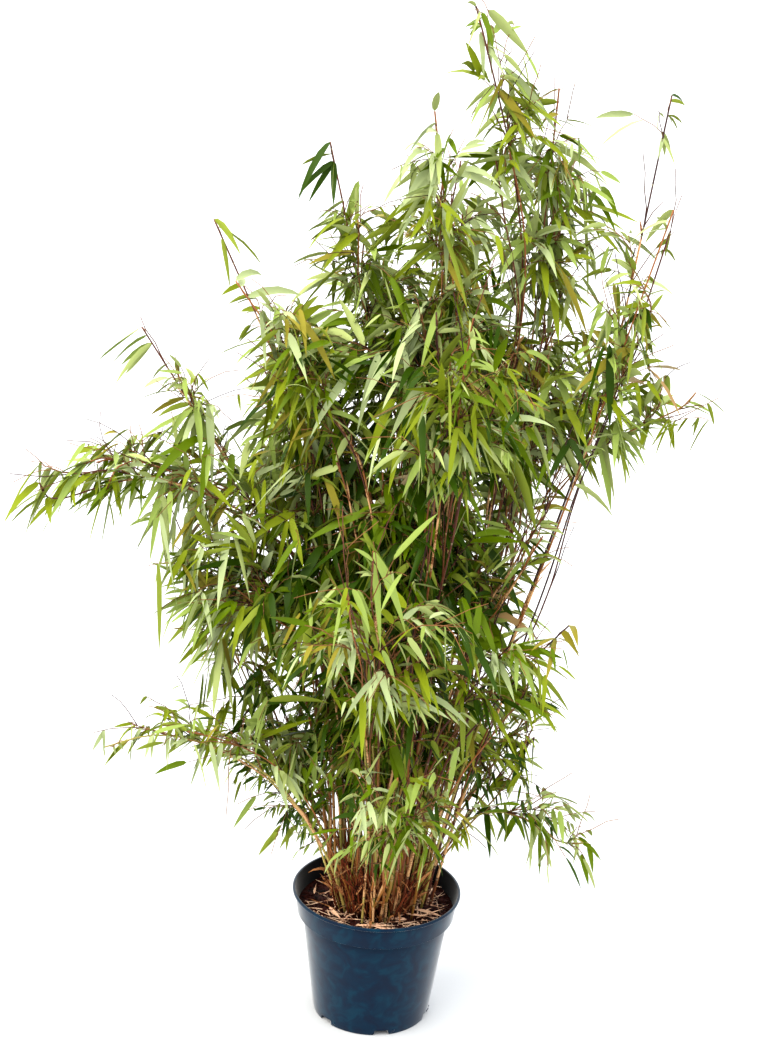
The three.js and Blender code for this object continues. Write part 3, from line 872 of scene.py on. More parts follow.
def leaf_blades(base, heading, face, length, width, droop, keel, twist):
    """Lance-shaped blades. Along a blade the midrib is P + L (D t + G a t^2 / 2), D its heading,
    G straight down and a its droop. Across it, at half-width w = W/2 2.36 t^0.45 (1-t)^0.9, the
    margins stand keel times w above the midrib, and the blade turns by twist t about it. The
    ring at each t is left margin, upper midrib, right margin, lower midrib. Each quad between
    rings is split from its margin to the next ring's midrib, above and below alike, so that the
    two sides never cross. Returns vertices, faces, surface map and, for each face, whether it is
    on the underside."""
    count = len(base)
    t = LEAF_STATIONS[None, :, None]
    hang = -UP * droop[:, None, None]

    def midrib(s):
        return base[:, None] + length[:, None, None] * (heading[:, None] * s + hang * s ** 2 / 2)

    along = unit(heading[:, None] + hang * t)
    side = np.cross(heading, square_to(face, heading))
    side = square_to(np.broadcast_to(side[:, None], along.shape), along)
    upper = np.cross(side, along)
    turn = twist[:, None, None] * t
    side, upper = (np.cos(turn) * side + np.sin(turn) * upper,
                   np.cos(turn) * upper - np.sin(turn) * side)
    half = width[:, None, None] / 2 * 2.36 * t ** 0.45 * (1 - t) ** 0.9
    middle = midrib(t)
    lift = upper * half * keel[:, None, None]
    thick = upper * BLADE_THICKNESS / 2
    rings = np.stack([middle - side * half + lift, middle + thick,
                      middle + side * half + lift, middle - thick], 2)
    ends = midrib(np.array([0.0, 1.0])[None, :, None])
    vertices = np.concatenate([rings.reshape(count, -1, 3), ends], 1)
    stations = len(LEAF_STATIONS)
    stride = 4 * stations + 2
    quads = grid_faces(stations, 4, True)
    even = (np.arange(len(quads)) % 2 == 0)[:, None]
    first = np.where(even, quads[:, [0, 1, 2]], quads[:, [0, 1, 3]])
    second = np.where(even, quads[:, [0, 2, 3]], quads[:, [1, 2, 3]])
    blade = np.vstack([first, second, end_fans(stations, 4, stride - 2, stride - 1)])
    faces = [repeat_faces(blade, count, stride)]
    under = np.tile(np.resize([0, 0, 1, 1], len(blade)), count)
    across = np.array([-1.0, 0.0, 1.0, 0.0])
    u = np.concatenate([(half * across).reshape(count, -1), np.zeros((count, 2))], 1)
    v = length[:, None] * np.concatenate([np.repeat(LEAF_STATIONS, 4), [0.0, 1.0]])[None]
    return vertices.reshape(-1, 3), faces, np.stack([u.ravel(), v.ravel()], 1), under


def in_room(points):
    """Whether each point is where the plant may reach: the CAD box and ROOM round it."""
    return np.all((points > BOX_LOW - ROOM) & (points < BOX_HIGH + ROOM), axis=1)


def near_plumes(points):
    """Whether each point is in a plume or less than STRAY outside all of them."""
    filling = np.vstack([plume_form(name)["filling"] for name in PLUME_NODES])
    tree = KDTree(len(filling))
    for number, point in enumerate(filling):
        tree.insert(point, number)
    tree.balance()
    return np.array([tree.find(point)[2] < STRAY for point in points])


def depth_inside(points):
    """How deep in the plant each point is, from 0 at the outside to 1 in the middle: 1 less the
    greatest of its distances |x| / wide, |y| / deep and |z| / high from the plant's middle,
    smoothed. Low points are in the plant's own shade, so they count as at least LOW_SHADE."""
    reach = (np.abs(points - PLANT_MIDDLE) / PLANT_HALF).max(1)
    deep = 1 - smoothstep(0.25, 0.85, reach)
    return np.maximum(deep, LOW_SHADE * (1 - smoothstep(0.35, 0.7, points[:, 2])))


def dress_twigs(twigs, settings, random):
    """The leaves of every twig, as arrays: one straight on at its end and others in turn left and
    right behind it, 8 to 22 mm apart, spreading 11 to 43 degrees and sinking under their weight.
    The leaves of a twig are alike in vigour, and those low on the plant are smaller."""
    count = len(twigs["start"])
    numbers = random.choice([1, 2, 3, 4, 5], count, p=[0.05, 0.2, 0.35, 0.27, 0.13])
    numbers = numbers + (twigs["order"] == 0)
    twig = np.repeat(np.arange(count), numbers)
    order = np.concatenate([np.arange(n) for n in numbers])
    many = len(order)
    first = np.where(random.random(count) < 0.5, 1.0, -1.0)[twig]
    sign = np.where(order % 2 == 0, 1.0, -1.0) * first
    spacing = random.uniform(0.008, 0.022, many) / twigs["length"][twig]
    t = np.clip(1 - order * spacing, 0.15, 1)[:, None]
    own = {key: twigs[key][twig] for key in ("start", "bend", "end", "outward")}
    base = curve_point(own, t)
    run = unit(own["end"] - own["bend"])
    sink = random.normal(0.75, 0.6, count)[twig] + random.normal(0, 0.25, many)
    way = unit(0.7 * run + 0.75 * own["outward"] - UP * sink[:, None])
    level = unit(np.cross(way, UP + 0.45 * scatter(random, way.shape)))
    straight = random.uniform(-0.25, 0.25, many)
    spread = np.where(order == 0, straight, sign * random.uniform(0.2, 0.95, many))[:, None]
    heading = unit(way + spread * level + 0.15 * scatter(random, way.shape))
    face = unit(0.8 * UP + 0.5 * own["outward"] + 0.75 * scatter(random, way.shape))
    vigour = random.lognormal(0, 0.4, count)[twig]
    low = 0.52 + 0.48 * smoothstep(0.25, 0.75, base[:, 2])
    scale = random.uniform(0.7, 1.15, many) * vigour * (1 - 0.05 * order) * low
    scale = np.clip(scale, *LEAF_SCALES)
    return {"base": base, "heading": heading, "face": face, "length": settings.leaf_length * scale,
            "width": settings.leaf_width * scale ** 0.6 * random.uniform(0.8, 1.2, many),
            "droop": random.uniform(0.15, 1.15, many), "keel": random.uniform(0.08, 0.45, many),
            "twist": random.normal(size=many) * 0.6, "twig": twig}


# ---- pot, compost and litter --------------------------------------------------------------

def make_pot(settings):
    """The pot: a turned body whose outline is rounded at every corner. Its bottom edge is lifted
    in smooth notches, z = max(z, h n(v)), n being 1 inside a notch and 0 outside. Two round studs
    stand out of the edge beside each notch: flattened balls, point(u, v) = c + r (cos u cos v,
    cos u sin v, 0.8 sin u). Returns vertices, faces and whether each vertex is on the pot's
    inner side."""
    base, wall, rim = settings.base_radius, settings.wall, POT_HIGH[0]
    height, shoulder, collar = POT_HIGH[2], settings.shoulder_radius, settings.collar_radius
    foot = height - settings.collar_height
    slope = (shoulder - base) / foot
    outline = rounded_profile([
        # the underside, the bottom edge and the wall, with rings about the top of the notches
        (0, 0, 0), (base, 0, 0.002), (base + slope * 0.0095, 0.0095, 0),
        (base + slope * 0.011, 0.011, 0), (base + slope * 0.016, 0.016, 0),
        # the step out to the collar, the lip and the brim
        (shoulder, foot - 0.0015, 0.003), (collar, foot, 0.0003),
        (rim - 0.0045, height - 0.0055, 0.001), (rim, height - 0.0045, 0.0012),
        (rim, height, 0.0016), (rim - 0.0042, height, 0.0012),
        # the inside, down to the floor
        (collar - wall, foot + 0.003, 0.002), (shoulder - wall, foot, 0.002),
        (base - wall, 0.011, 0), (base - wall, 0.007, 0.003),
        (base - 0.014, 0.0045, 0), (base - 0.016, 0.0032, 0), (0, 0.003, 0),
    ])
    steps = settings.steps
    vertices, faces = turned_body(outline, steps)
    turn = np.arctan2(vertices[:, 1], vertices[:, 0])
    radius = np.hypot(vertices[:, 0], vertices[:, 1])
    pitch = 2 * math.pi / settings.notches
    off = np.abs(((turn - settings.notch_turn) % pitch) - pitch / 2) * radius
    half = settings.notch_width / 2
    notch = 1 - smoothstep(half - 0.0015, half + 0.0015, off)
    brim = np.flatnonzero(outline[:, 1] > height - 1e-6)[-1]
    inner = np.append(np.arange(len(vertices) - 2) // steps >= brim, [False, True])
    lift = smoothstep(base - 0.0125, base - 0.0105, radius) * notch * settings.notch_height
    lift += np.where(inner & (lift > 0), 0.0028, 0)
    low = vertices[:, 2] < 0.012
    vertices[:, 2] = np.where(low, np.maximum(vertices[:, 2], lift), vertices[:, 2])
    bow = np.linspace(-math.pi / 2, math.pi / 2, 9)
    stud, stud_faces = turned_body(np.column_stack([np.cos(bow), np.sin(bow) * 0.8]) * STUD, 12)
    parts = [(vertices, faces)]
    for middle in (np.arange(settings.notches) + 0.5) * pitch + settings.notch_turn:
        for beside, level in STUD_PLACES:
            at = middle + beside / base
            out = base - 0.0012 + slope * level
            parts.append((stud + [out * math.cos(at), out * math.sin(at), level], stud_faces))
    vertices, faces = join(parts)
    return vertices, faces, np.append(inner, np.zeros(len(vertices) - len(inner)))


def compost_height(points):
    """The compost's top at each point: a little lower at the wall, with humps 40 mm across and
    crumbs 9 mm across."""
    radius = np.linalg.norm(points[:, :2], axis=1)
    flat = np.column_stack([points[:, :2], np.zeros(len(points))])
    calm = 1 - 0.8 * smoothstep(0.112, 0.124, radius)
    return (COMPOST_HIGH[2] - 0.002 - 0.001 * smoothstep(0.06, 0.125, radius)
            + calm * (0.0035 * ripples(flat, 0.04, 3) + 0.0022 * ripples(flat, 0.009, 4)))


def make_compost():
    """The compost: a turned body a little inside the pot's wall, its top raised to
    compost_height."""
    bottom, top, edge = COMPOST_LOW[2], COMPOST_HIGH[2], COMPOST_HIGH[0]
    outline = [(0, bottom), (0.04, bottom), (0.08, bottom), (0.088, 0.02)]
    outline += [(0.118, 0.176), (0.125, 0.184), (edge + 0.0006, top - 0.002)]
    outline += [(radius, top) for radius in np.linspace(edge, 0.002, 60)] + [(0, top)]
    vertices, faces = turned_body(np.array(outline), 300)
    crown = vertices[:, 2] >= top - 0.0005
    vertices[crown, 2] = compost_height(vertices[crown])
    return vertices, faces


def scatter_on_compost(count, random, inner, outer):
    """Points spread evenly over a ring of the compost, on its surface."""
    radius = np.sqrt(random.uniform(inner ** 2, outer ** 2, count))
    angle = random.uniform(0, 2 * math.pi, count)
    points = np.column_stack([radius * np.cos(angle), radius * np.sin(angle), np.zeros(count)])
    points[:, 2] = compost_height(points)
    return points


def level_ways(count, random, tilt):
    """Directions spread evenly round the compass, each tilted a little up or down."""
    turn = random.uniform(0, 2 * math.pi, count)
    return unit(np.column_stack([np.cos(turn), np.sin(turn), random.normal(size=count) * tilt]))


def inside_wall(points, ways, lengths):
    """The points moved in towards the middle until both ends of each piece clear the pot."""
    for _ in range(2):
        for end in (-0.5, 0.5):
            level = (points + end * lengths[:, None] * ways) * [1, 1, 0]
            over = np.linalg.norm(level, axis=1, keepdims=True) - POT_INSIDE
            points = points - unit(level) * np.maximum(over, 0)
    return points


def lying_pieces(points, ways, lengths, thick, thin, sides, rings, bend, random):
    """Short sticks and chips lying on a surface: closed tubes along p + L (s d + 4 b (1/4 - s^2)),
    s from -1/2 to 1/2, d the way of the piece and b its bend, square to d. Their sections are
    squashed to thin by thick, and blunt at the ends."""
    s = np.linspace(-0.5, 0.5, rings)[None, :, None]
    lengths = lengths[:, None, None]
    bow = square_to(scatter(random, points.shape), ways)[:, None] * bend * (0.25 - s ** 2) * 4
    paths = points[:, None] + s * lengths * ways[:, None] + bow * lengths
    end = np.clip(1.15 - (2 * np.abs(s[..., 0])) ** 3, 0.2, 1)
    vertices, faces, piece, _ = tubes(paths, thick[:, None] * end, sides, UP)
    along = ways[piece]
    up = square_to(np.broadcast_to(UP, along.shape), along)
    rise = np.sum((vertices - points[piece]) * up, 1, keepdims=True)
    squash = (1 - thin / thick)[piece][:, None]
    return vertices - up * rise * squash, faces


def make_chips(settings, random):
    """Chips of composted bark, 6 to 20 mm long, lying flat in and on the compost."""
    count = settings.chips
    points = scatter_on_compost(count, random, 0.0, 0.117)
    lengths = random.uniform(0.006, 0.02, count)
    thick = lengths * random.uniform(0.18, 0.34, count)
    thin = thick * random.uniform(0.35, 0.7, count)
    points[:, 2] += thin * 0.3
    ways = level_ways(count, random, 0.25)
    return lying_pieces(points, ways, lengths, thick, thin, 5, 3, 0.05, random)


def make_straws(settings, random):
    """Dry straws and leaf stalks, 15 to 55 mm long, lying criss-cross on the compost."""
    count = settings.straws
    points = scatter_on_compost(count, random, 0.02, 0.118)
    lengths = random.uniform(0.015, 0.055, count)
    thick = random.uniform(0.0005, 0.0016, count)
    ways = level_ways(count, random, 0.14)
    points = inside_wall(points, ways, lengths)
    points[:, 2] += thick + random.uniform(0.001, 0.009, count)
    return lying_pieces(points, ways, lengths, thick, thick * 0.5, 5, 4, 0.06, random)


def fallen_leaves(count, random):
    """Dry fallen leaves, curled, 30 to 60 mm long, lying on the compost and in the foot of the
    clump."""
    base = scatter_on_compost(count, random, 0.03, 0.115)
    base[:, 2] += random.uniform(0.002, 0.012, count)
    heading = level_ways(count, random, 0.18)
    middle = inside_wall(base + 0.025 * heading, heading, np.full(count, 0.06))
    base = middle - 0.025 * heading
    face = unit(UP + 0.5 * scatter(random, base.shape))
    return leaf_blades(base, heading, face, random.uniform(0.03, 0.06, count),
                       random.uniform(0.003, 0.007, count), random.uniform(-0.3, 0.3, count),
                       random.uniform(0.3, 0.9, count), random.normal(size=count))


# ---- dry growth in the clump --------------------------------------------------------------

def make_sheaths(canes, share, random):
    """Papery sheaths that still wrap the canes: each a sleeve from one joint part of the way to
    the next, SHEATH_PROUD of the cane and thinning out at its ends, and a narrow free blade at
    its top."""
    sleeves, blades = [], {key: [] for key in ("base", "heading", "face", "length", "width")}
    bulge = np.array([0.1, 0.9, 1, 0.9, 0.2])
    for cane in canes:
        joints = cane["joints"]
        keep = (random.random(len(joints)) < share) & (joints < 0.85 * cane["length"])
        ends = np.append(joints[1:], cane["length"])
        for start, end in zip(joints[keep], ends[keep]):
            stop = start + (end - start) * random.uniform(0.35, 0.95)
            stations = np.linspace(start + 0.0006, stop, 5)
            path = resample(cane["line"], stations)
            radius = cane_radius(cane, stations) + SHEATH_PROUD * bulge
            sleeves.append(tubes(path[None], radius[None], 6, CANE_HINT)[:2])
            along = unit(path[-1] - path[-2])
            out = square_to(random.normal(size=3), along)
            blades["base"].append(path[-1] + out * radius[-1] * 0.8)
            blades["heading"].append(unit(along + out * random.uniform(0.1, 0.6)))
            blades["face"].append(-out)
            blades["length"].append(random.uniform(0.014, 0.04))
            blades["width"].append(random.uniform(0.0025, 0.005))
    blades = {key: np.array(value) for key, value in blades.items()}
    count = len(blades["base"])
    wings = leaf_blades(**blades, droop=random.uniform(-0.3, 0.6, count),
                        keel=random.uniform(0.3, 0.9, count), twist=random.normal(size=count) * 0.8)
    return join(sleeves + [wings[:2]])


def make_thatch(settings, random):
    """The dead twigs and old cane stubs that fill the foot of the clump: sticks that stand
    between the canes, leaning out as the canes do, the longest of them in the middle."""
    count = settings.thatch
    points = scatter_on_compost(count, random, 0.0, THATCH_RADIUS)
    lean = points * [1, 1, 0] / THATCH_RADIUS
    ways = unit(UP + 0.25 * lean + 0.16 * scatter(random, points.shape))
    lengths = random.uniform(0.04, 0.2, count) * (1.15 - 0.6 * np.linalg.norm(lean, axis=1))
    middle = points + ways * (lengths / 2)[:, None]
    thick = random.uniform(0.0006, 0.0019, count)
    return lying_pieces(middle, ways, lengths, thick, thick, 5, 4, 0.05, random)


def old_blades(settings, random):
    """Dead sheaths still standing round the feet of the canes: narrow dry blades, 25 to 65 mm
    long, pointing up and out."""
    count = settings.old_blades
    base = scatter_on_compost(count, random, 0.0, OLD_RADIUS)
    lean = base * [1, 1, 0] / OLD_RADIUS
    steep = UP * random.uniform(0.35, 1.2, (count, 1))
    heading = unit(steep + 0.5 * lean + 0.35 * scatter(random, base.shape))
    heading[:, 2] = np.abs(heading[:, 2])
    base = base + UP * random.uniform(0, 0.08, (count, 1))
    face = unit(lean + UP * 0.5 + 0.5 * scatter(random, base.shape))
    return leaf_blades(base, heading, face, random.uniform(0.025, 0.065, count),
                       random.uniform(0.003, 0.007, count), random.uniform(0, 1.2, count),
                       random.uniform(0.4, 1.0, count), random.normal(size=count) * 1.2)


# ---- the camera, the light and the floor ---------------------------------------------------

def aim(settings):
    """The camera's axes: from yaw and pitch, then rolled about its line of sight."""
    yaw, pitch, roll = settings.yaw, settings.pitch, settings.roll
    level = math.cos(pitch)
    ahead = np.array([math.sin(yaw) * level, math.cos(yaw) * level, -math.sin(pitch)])
    right = np.array([math.cos(yaw), -math.sin(yaw), 0])
    above = np.cross(right, ahead)
    right, above = (math.cos(roll) * right + math.sin(roll) * above,
                    math.cos(roll) * above - math.sin(roll) * right)
    return Matrix(np.array([right, above, -ahead]).T.tolist()).to_4x4()


def soft_light(name, towards, strength, hex_colour):
    """A very large, far softbox, made as a sun lamp with a disc as wide as the softbox looks."""
    light = bpy.data.lights.new(name, "SUN")
    light.energy = strength
    light.angle = SOFTBOX_ANGLE
    light.color = linear(hex_colour)
    lamp = bpy.data.objects.new(name, light)
    lamp.rotation_euler = Vector(towards).to_track_quat("-Z", "Y").to_euler()
    bpy.context.scene.collection.objects.link(lamp)


# ---- settings -----------------------------------------------------------------------------

def size(name, description, default):
    """A length setting, shown in the scene's units."""
    return FloatProperty(name=name, description=description, default=default, min=0.0,
                         subtype="DISTANCE", unit="LENGTH", precision=4)


def angle(name, description, degrees):
    """An angle setting, given here in degrees."""
    return FloatProperty(name=name, description=description, default=math.radians(degrees),
                         subtype="ANGLE", unit="ROTATION")


def number(name, description, default):
    """A whole-number setting."""
    return IntProperty(name=name, description=description, default=default, min=0)


def share(name, description, default):
    """A setting from 0 to 1."""
    return FloatProperty(name=name, description=description, default=default, min=0.0, max=1.0,
                         subtype="FACTOR")


def tint(name, description, hex_colour):
    """A colour setting."""
    return FloatVectorProperty(name=name, description=description, default=linear(hex_colour),
                               subtype="COLOR", min=0.0, max=1.0, size=3)


class PotSettings(bpy.types.PropertyGroup):
    """Sizes of the pot that its CAD box does not give, and its colours."""
    base_radius: size("Base radius", "Outside of the wall at the bottom", 0.098)
    shoulder_radius: size("Shoulder radius", "Outside of the wall just under the collar", 0.122)
    collar_radius: size("Collar radius", "Outside of the collar at its lower edge", 0.131)
    collar_height: size("Collar height", "From the collar's lower edge to the rim", 0.04)
    wall: size("Wall", "Thickness of the moulded wall", 0.0024)
    notches: number("Notches", "Drain notches round the bottom edge", 6)
    notch_turn: angle("Notch turn", "Turns the ring of notches", 12.0)
    notch_width: size("Notch width", "Along the bottom edge", 0.024)
    notch_height: size("Notch height", "Above the ground", 0.009)
    steps: number("Steps", "Facets round the pot", 384)
    body: tint("Colour", "Of the plastic", "#001e33")
    pale_flow: tint("Pale flow marks", "Where the dye is thin", "#00293c")
    dark_flow: tint("Dark flow marks", "Where the dye is thick", "#04182d")
    # The colour of the pot's inner side is painted shade, not the plastic's own colour.
    painted_inside_shade: tint("Soiled inside", "Of the wall above the compost", "#04070c")


class CompostSettings(bpy.types.PropertyGroup):
    """What lies in the pot, and the dry growth at the foot of the clump."""
    chips: number("Bark chips", "Chips in and on the compost", 1600)
    straws: number("Straws", "Dry stalks lying on the compost", 190)
    fallen: number("Fallen leaves", "Dry leaves lying on the compost", 70)
    thatch: number("Dead twigs", "Dead twigs standing in the foot of the clump", 420)
    old_blades: number("Old sheaths", "Dead sheaths round the feet of the canes", 220)
    # The gap colour is painted shade between the crumbs.
    painted_gap_shade: tint("Gaps", "Between the crumbs of compost", "#030000")
    damp_crumbs: tint("Damp crumbs", "Compost that is still moist", "#140302")
    dry_crumbs: tint("Dry crumbs", "The tops of the crumbs", "#300d07")
    chip_dark: tint("Bark, dark", "The dark fibres of a chip", "#060100")
    chip_light: tint("Bark, light", "The light fibres of a chip", "#33100a")
    straw_dark: tint("Straw, dark", "The dark fibres of a straw", "#8a5c44")
    straw_light: tint("Straw, light", "The light fibres of a straw", "#e0bd9f")
    leaf_dark: tint("Fallen leaf, dark", "The dark blotches of a fallen leaf", "#6d4430")
    leaf_light: tint("Fallen leaf, light", "The light blotches of a fallen leaf", "#d3ab8c")
    dead_dark: tint("Dead twig, dark", "The dark fibres of a dead twig", "#1d0803")
    dead_light: tint("Dead twig, light", "The light fibres of a dead twig", "#6b3016")
    old_dark: tint("Old sheath, dark", "The dark fibres of an old sheath", "#4a2312")
    old_light: tint("Old sheath, light", "The light fibres of an old sheath", "#a87448")


class CaneSettings(bpy.types.PropertyGroup):
    """How many slender canes and sheaths there are, and their colours."""
    slender: share("Slender canes", "Slimmer canes beside a leader, per litre of plume", 0.75)
    sheathed: share("Sheathed joints", "Joints that still carry a papery sheath", 0.26)
    sides: number("Sides", "Facets round a cane", 8)
    purple: tint("Purple rind", "The darkest canes", "#251113")
    brown: tint("Brown rind", "Dark canes", "#4d2419")
    rust: tint("Rusty rind", "Canes that ripen", "#8b5426")
    green: tint("Green rind", "Young canes", "#77722a")
    straw: tint("Straw rind", "The palest canes", "#b39c58")
    wax: tint("Wax", "The bloom just under each joint", "#b9b38c")
    scar: tint("Scar", "The ring at each joint", "#33211a")
    sheath_dark: tint("Sheath, dark", "The dark fibres of a papery sheath", "#6e3f1e")
    sheath_light: tint("Sheath, light", "The light fibres of a papery sheath", "#c49a6c")


class FoliageSettings(bpy.types.PropertyGroup):
    """How many twigs and leaves there are, their size and their colours."""
    sprays: number("Sprays", "Leafy twigs on the plant if every plume were at its densest", 2700)
    low_sprays: number("Low sprays", "Leafy twigs on the lower joints of the canes", 130)
    shoots: number("Bare shoots", "Thin shoots without leaves, most of them high on the plant", 300)
    leaf_length: size("Leaf length", "Middling length of a leaf", 0.0595)
    leaf_width: size("Leaf width", "Middling width of a leaf", 0.0098)
    dry_sprays: share("Dry sprays", "Sprays whose leaves have dried", 0.006)
    # The shaded tint, dealt deep in the plant, is painted shade. Pale grey-green leaves are real, but
    # the pale tint goes only to the outside, as painted light.
    shaded: tint("Shaded leaves", "The darkest, deep in the plant", "#294000")
    deep: tint("Deep green leaves", "Old leaves", "#506400")
    green: tint("Green leaves", "Full-grown leaves", "#727e14")
    fresh: tint("Fresh leaves", "Young leaves, cooler and paler", "#7f9046")
    olive: tint("Olive leaves", "Leaves that begin to turn", "#7e7626")
    pale: tint("Pale leaves", "The palest, grey-green leaves", "#99a575")
    dry: tint("Dry leaves", "Leaves that have dried", "#94794f")
    dull_underside: tint("Dull underside", "Of the darker leaves", "#74802a")
    pale_underside: tint("Pale underside", "Of the lighter leaves", "#95a062")
    dry_underside: tint("Dry underside", "Of the dry leaves", "#9c8a68")
    twig_dark: tint("Twig, dark", "The dark twigs", "#2b1216")
    twig_light: tint("Twig, light", "The light twigs", "#7c5533")
    shoot_dark: tint("Bare shoot, dark", "The dark bare shoots", "#1d0f14")
    shoot_light: tint("Bare shoot, light", "The light bare shoots", "#5b3428")


class StageSettings(bpy.types.PropertyGroup):
    """The camera and the studio."""
    yaw: angle("Yaw", "Turn of the camera to the right", -0.43)
    pitch: angle("Pitch", "How far the camera looks down", 16.83)
    roll: angle("Roll", "Turn of the camera about its line of sight", 3.03)
    distance: size("Distance", "From the camera to the pot, along the ground", 2.7)
    height: size("Height", "Of the camera above the ground", 1.677)
    lens: FloatProperty(name="Lens", description="Focal length in millimetres", default=62.34,
                        min=10.0)
    floor: size("Floor", "Side of the studio floor", 900.0)
    paint: tint("Floor paint", "Colour of the studio floor", "#b4b6b8")
    key: FloatProperty(name="Key light", description="Strength of the softbox at the front left",
                       default=2.6, min=0.0)
    sky: FloatProperty(name="Room light", description="Strength of the even light all round",
                       default=1.05, min=0.0)
    exposure: FloatProperty(name="Exposure", description="Of the picture, in stops", default=0.75)
    gamma: FloatProperty(name="Gamma", description="Below 1 the middle tones are deeper",
                         default=0.93, min=0.1)


# ---- operators ----------------------------------------------------------------------------

class BAMBOO_OT_pot(bpy.types.Operator):
    """Turn the nursery pot"""
    bl_idname = "bamboo.pot"
    bl_label = "Pot"

    def execute(self, context):
        settings = context.scene.bamboo_pot
        vertices, faces, inner = make_pot(settings)
        piece = build_object("nursery_pot", vertices, faces, [moulded_polypropylene(settings)],
                             tones={"inside": inner}, sharp_angle=math.radians(50))
        place(piece, "pot", ["pot"])
        return {"FINISHED"}


class BAMBOO_OT_compost(bpy.types.Operator):
    """Fill the pot with bark compost, chips, straws and fallen leaves"""
    bl_idname = "bamboo.compost"
    bl_label = "Compost and litter"

    def execute(self, context):
        settings = context.scene.bamboo_compost
        random = np.random.default_rng(SEED + 10)
        piece = build_object("compost_bed", *make_compost(), [bark_compost(settings)])
        place(piece, "compost", ["compost"])
        bark = fibrous("bark_chip", settings.chip_dark, settings.chip_light, 0.8)
        piece = build_object("bark_chips", *make_chips(settings, random), [bark], smooth=False)
        place(piece, "compost")
        straw = fibrous("dry_straw", settings.straw_dark, settings.straw_light, 0.62)
        place(build_object("dry_straws", *make_straws(settings, random), [straw]), "compost")
        dead = fibrous("dead_leaf", settings.leaf_dark, settings.leaf_light, 0.7)
        vertices, faces, surface, _ = fallen_leaves(settings.fallen, random)
        piece = build_object("fallen_leaves", vertices, faces, [dead], uv=surface,
                             sharp_angle=BLADE_EDGE)
        place(piece, "compost")
        return {"FINISHED"}


class BAMBOO_OT_canes(bpy.types.Operator):
    """Grow the jointed canes with their sheaths and the dead growth at their feet"""
    bl_idname = "bamboo.canes"
    bl_label = "Canes"

    def execute(self, context):
        settings = context.scene.bamboo_cane
        litter = context.scene.bamboo_compost
        random = np.random.default_rng(SEED + 20)
        canes = grow_canes(settings.slender)
        skin = cane_skin(settings)
        for name, chosen, nodes in (
                ("leading_canes", [cane for cane in canes if cane["leader"]], CANE_NODES),
                ("slender_canes", [cane for cane in canes if not cane["leader"]], ())):
            vertices, faces, tone, joint = cane_mesh(chosen, settings.sides)
            piece = build_object(name, vertices, faces, [skin],
                                 tones={"cane_tone": tone, "joint": joint})
            place(piece, "cane", nodes)
        sheath = fibrous("papery_sheath", settings.sheath_dark, settings.sheath_light, 0.6)
        vertices, faces = make_sheaths(canes, settings.sheathed, random)
        piece = build_object("cane_sheaths", vertices, faces, [sheath], sharp_angle=BLADE_EDGE)
        place(piece, "cane")
        dead = fibrous("dead_twig", litter.dead_dark, litter.dead_light, 0.8)
        place(build_object("dead_twigs", *make_thatch(litter, random), [dead]), "cane")
        old = fibrous("old_sheath", litter.old_dark, litter.old_light, 0.7)
        vertices, faces, surface, _ = old_blades(litter, random)
        piece = build_object("old_sheaths", vertices, faces, [old], uv=surface,
                             sharp_angle=BLADE_EDGE)
        place(piece, "cane")
        return {"FINISHED"}


def deal_tints(branches, dry_sprays, random):
    """The number of the tint of each branch twig's spray: a random one by OUTER_SHARES, or by
    INNER_SHARES with a chance equal to how deep inside the plant it ends, or now and then dry.
    The darker inner tints are painted shade and the paler outer ones painted light."""
    count, dry = len(branches["start"]), len(LEAF_TINTS) - 1
    outer = random.choice(dry, count, p=OUTER_SHARES)
    inner = random.choice(dry, count, p=INNER_SHARES)
    dealt = np.where(random.random(count) < depth_inside(branches["end"]), inner, outer)
    return np.where(random.random(count) < dry_sprays, dry, dealt)


def fitting_leaves(leaves, free):
    """Whether each leaf fits: all of it near enough to the CAD box, and its tip in or near a
    plume, unless it is free to hang outside them."""
    reach = leaves["heading"] * leaves["length"][:, None]
    middle, tip = leaves["base"] + reach / 2, leaves["base"] + reach
    fits = in_room(tip) & in_room(middle) & in_room(leaves["base"])
    return fits & (near_plumes(tip) | free)


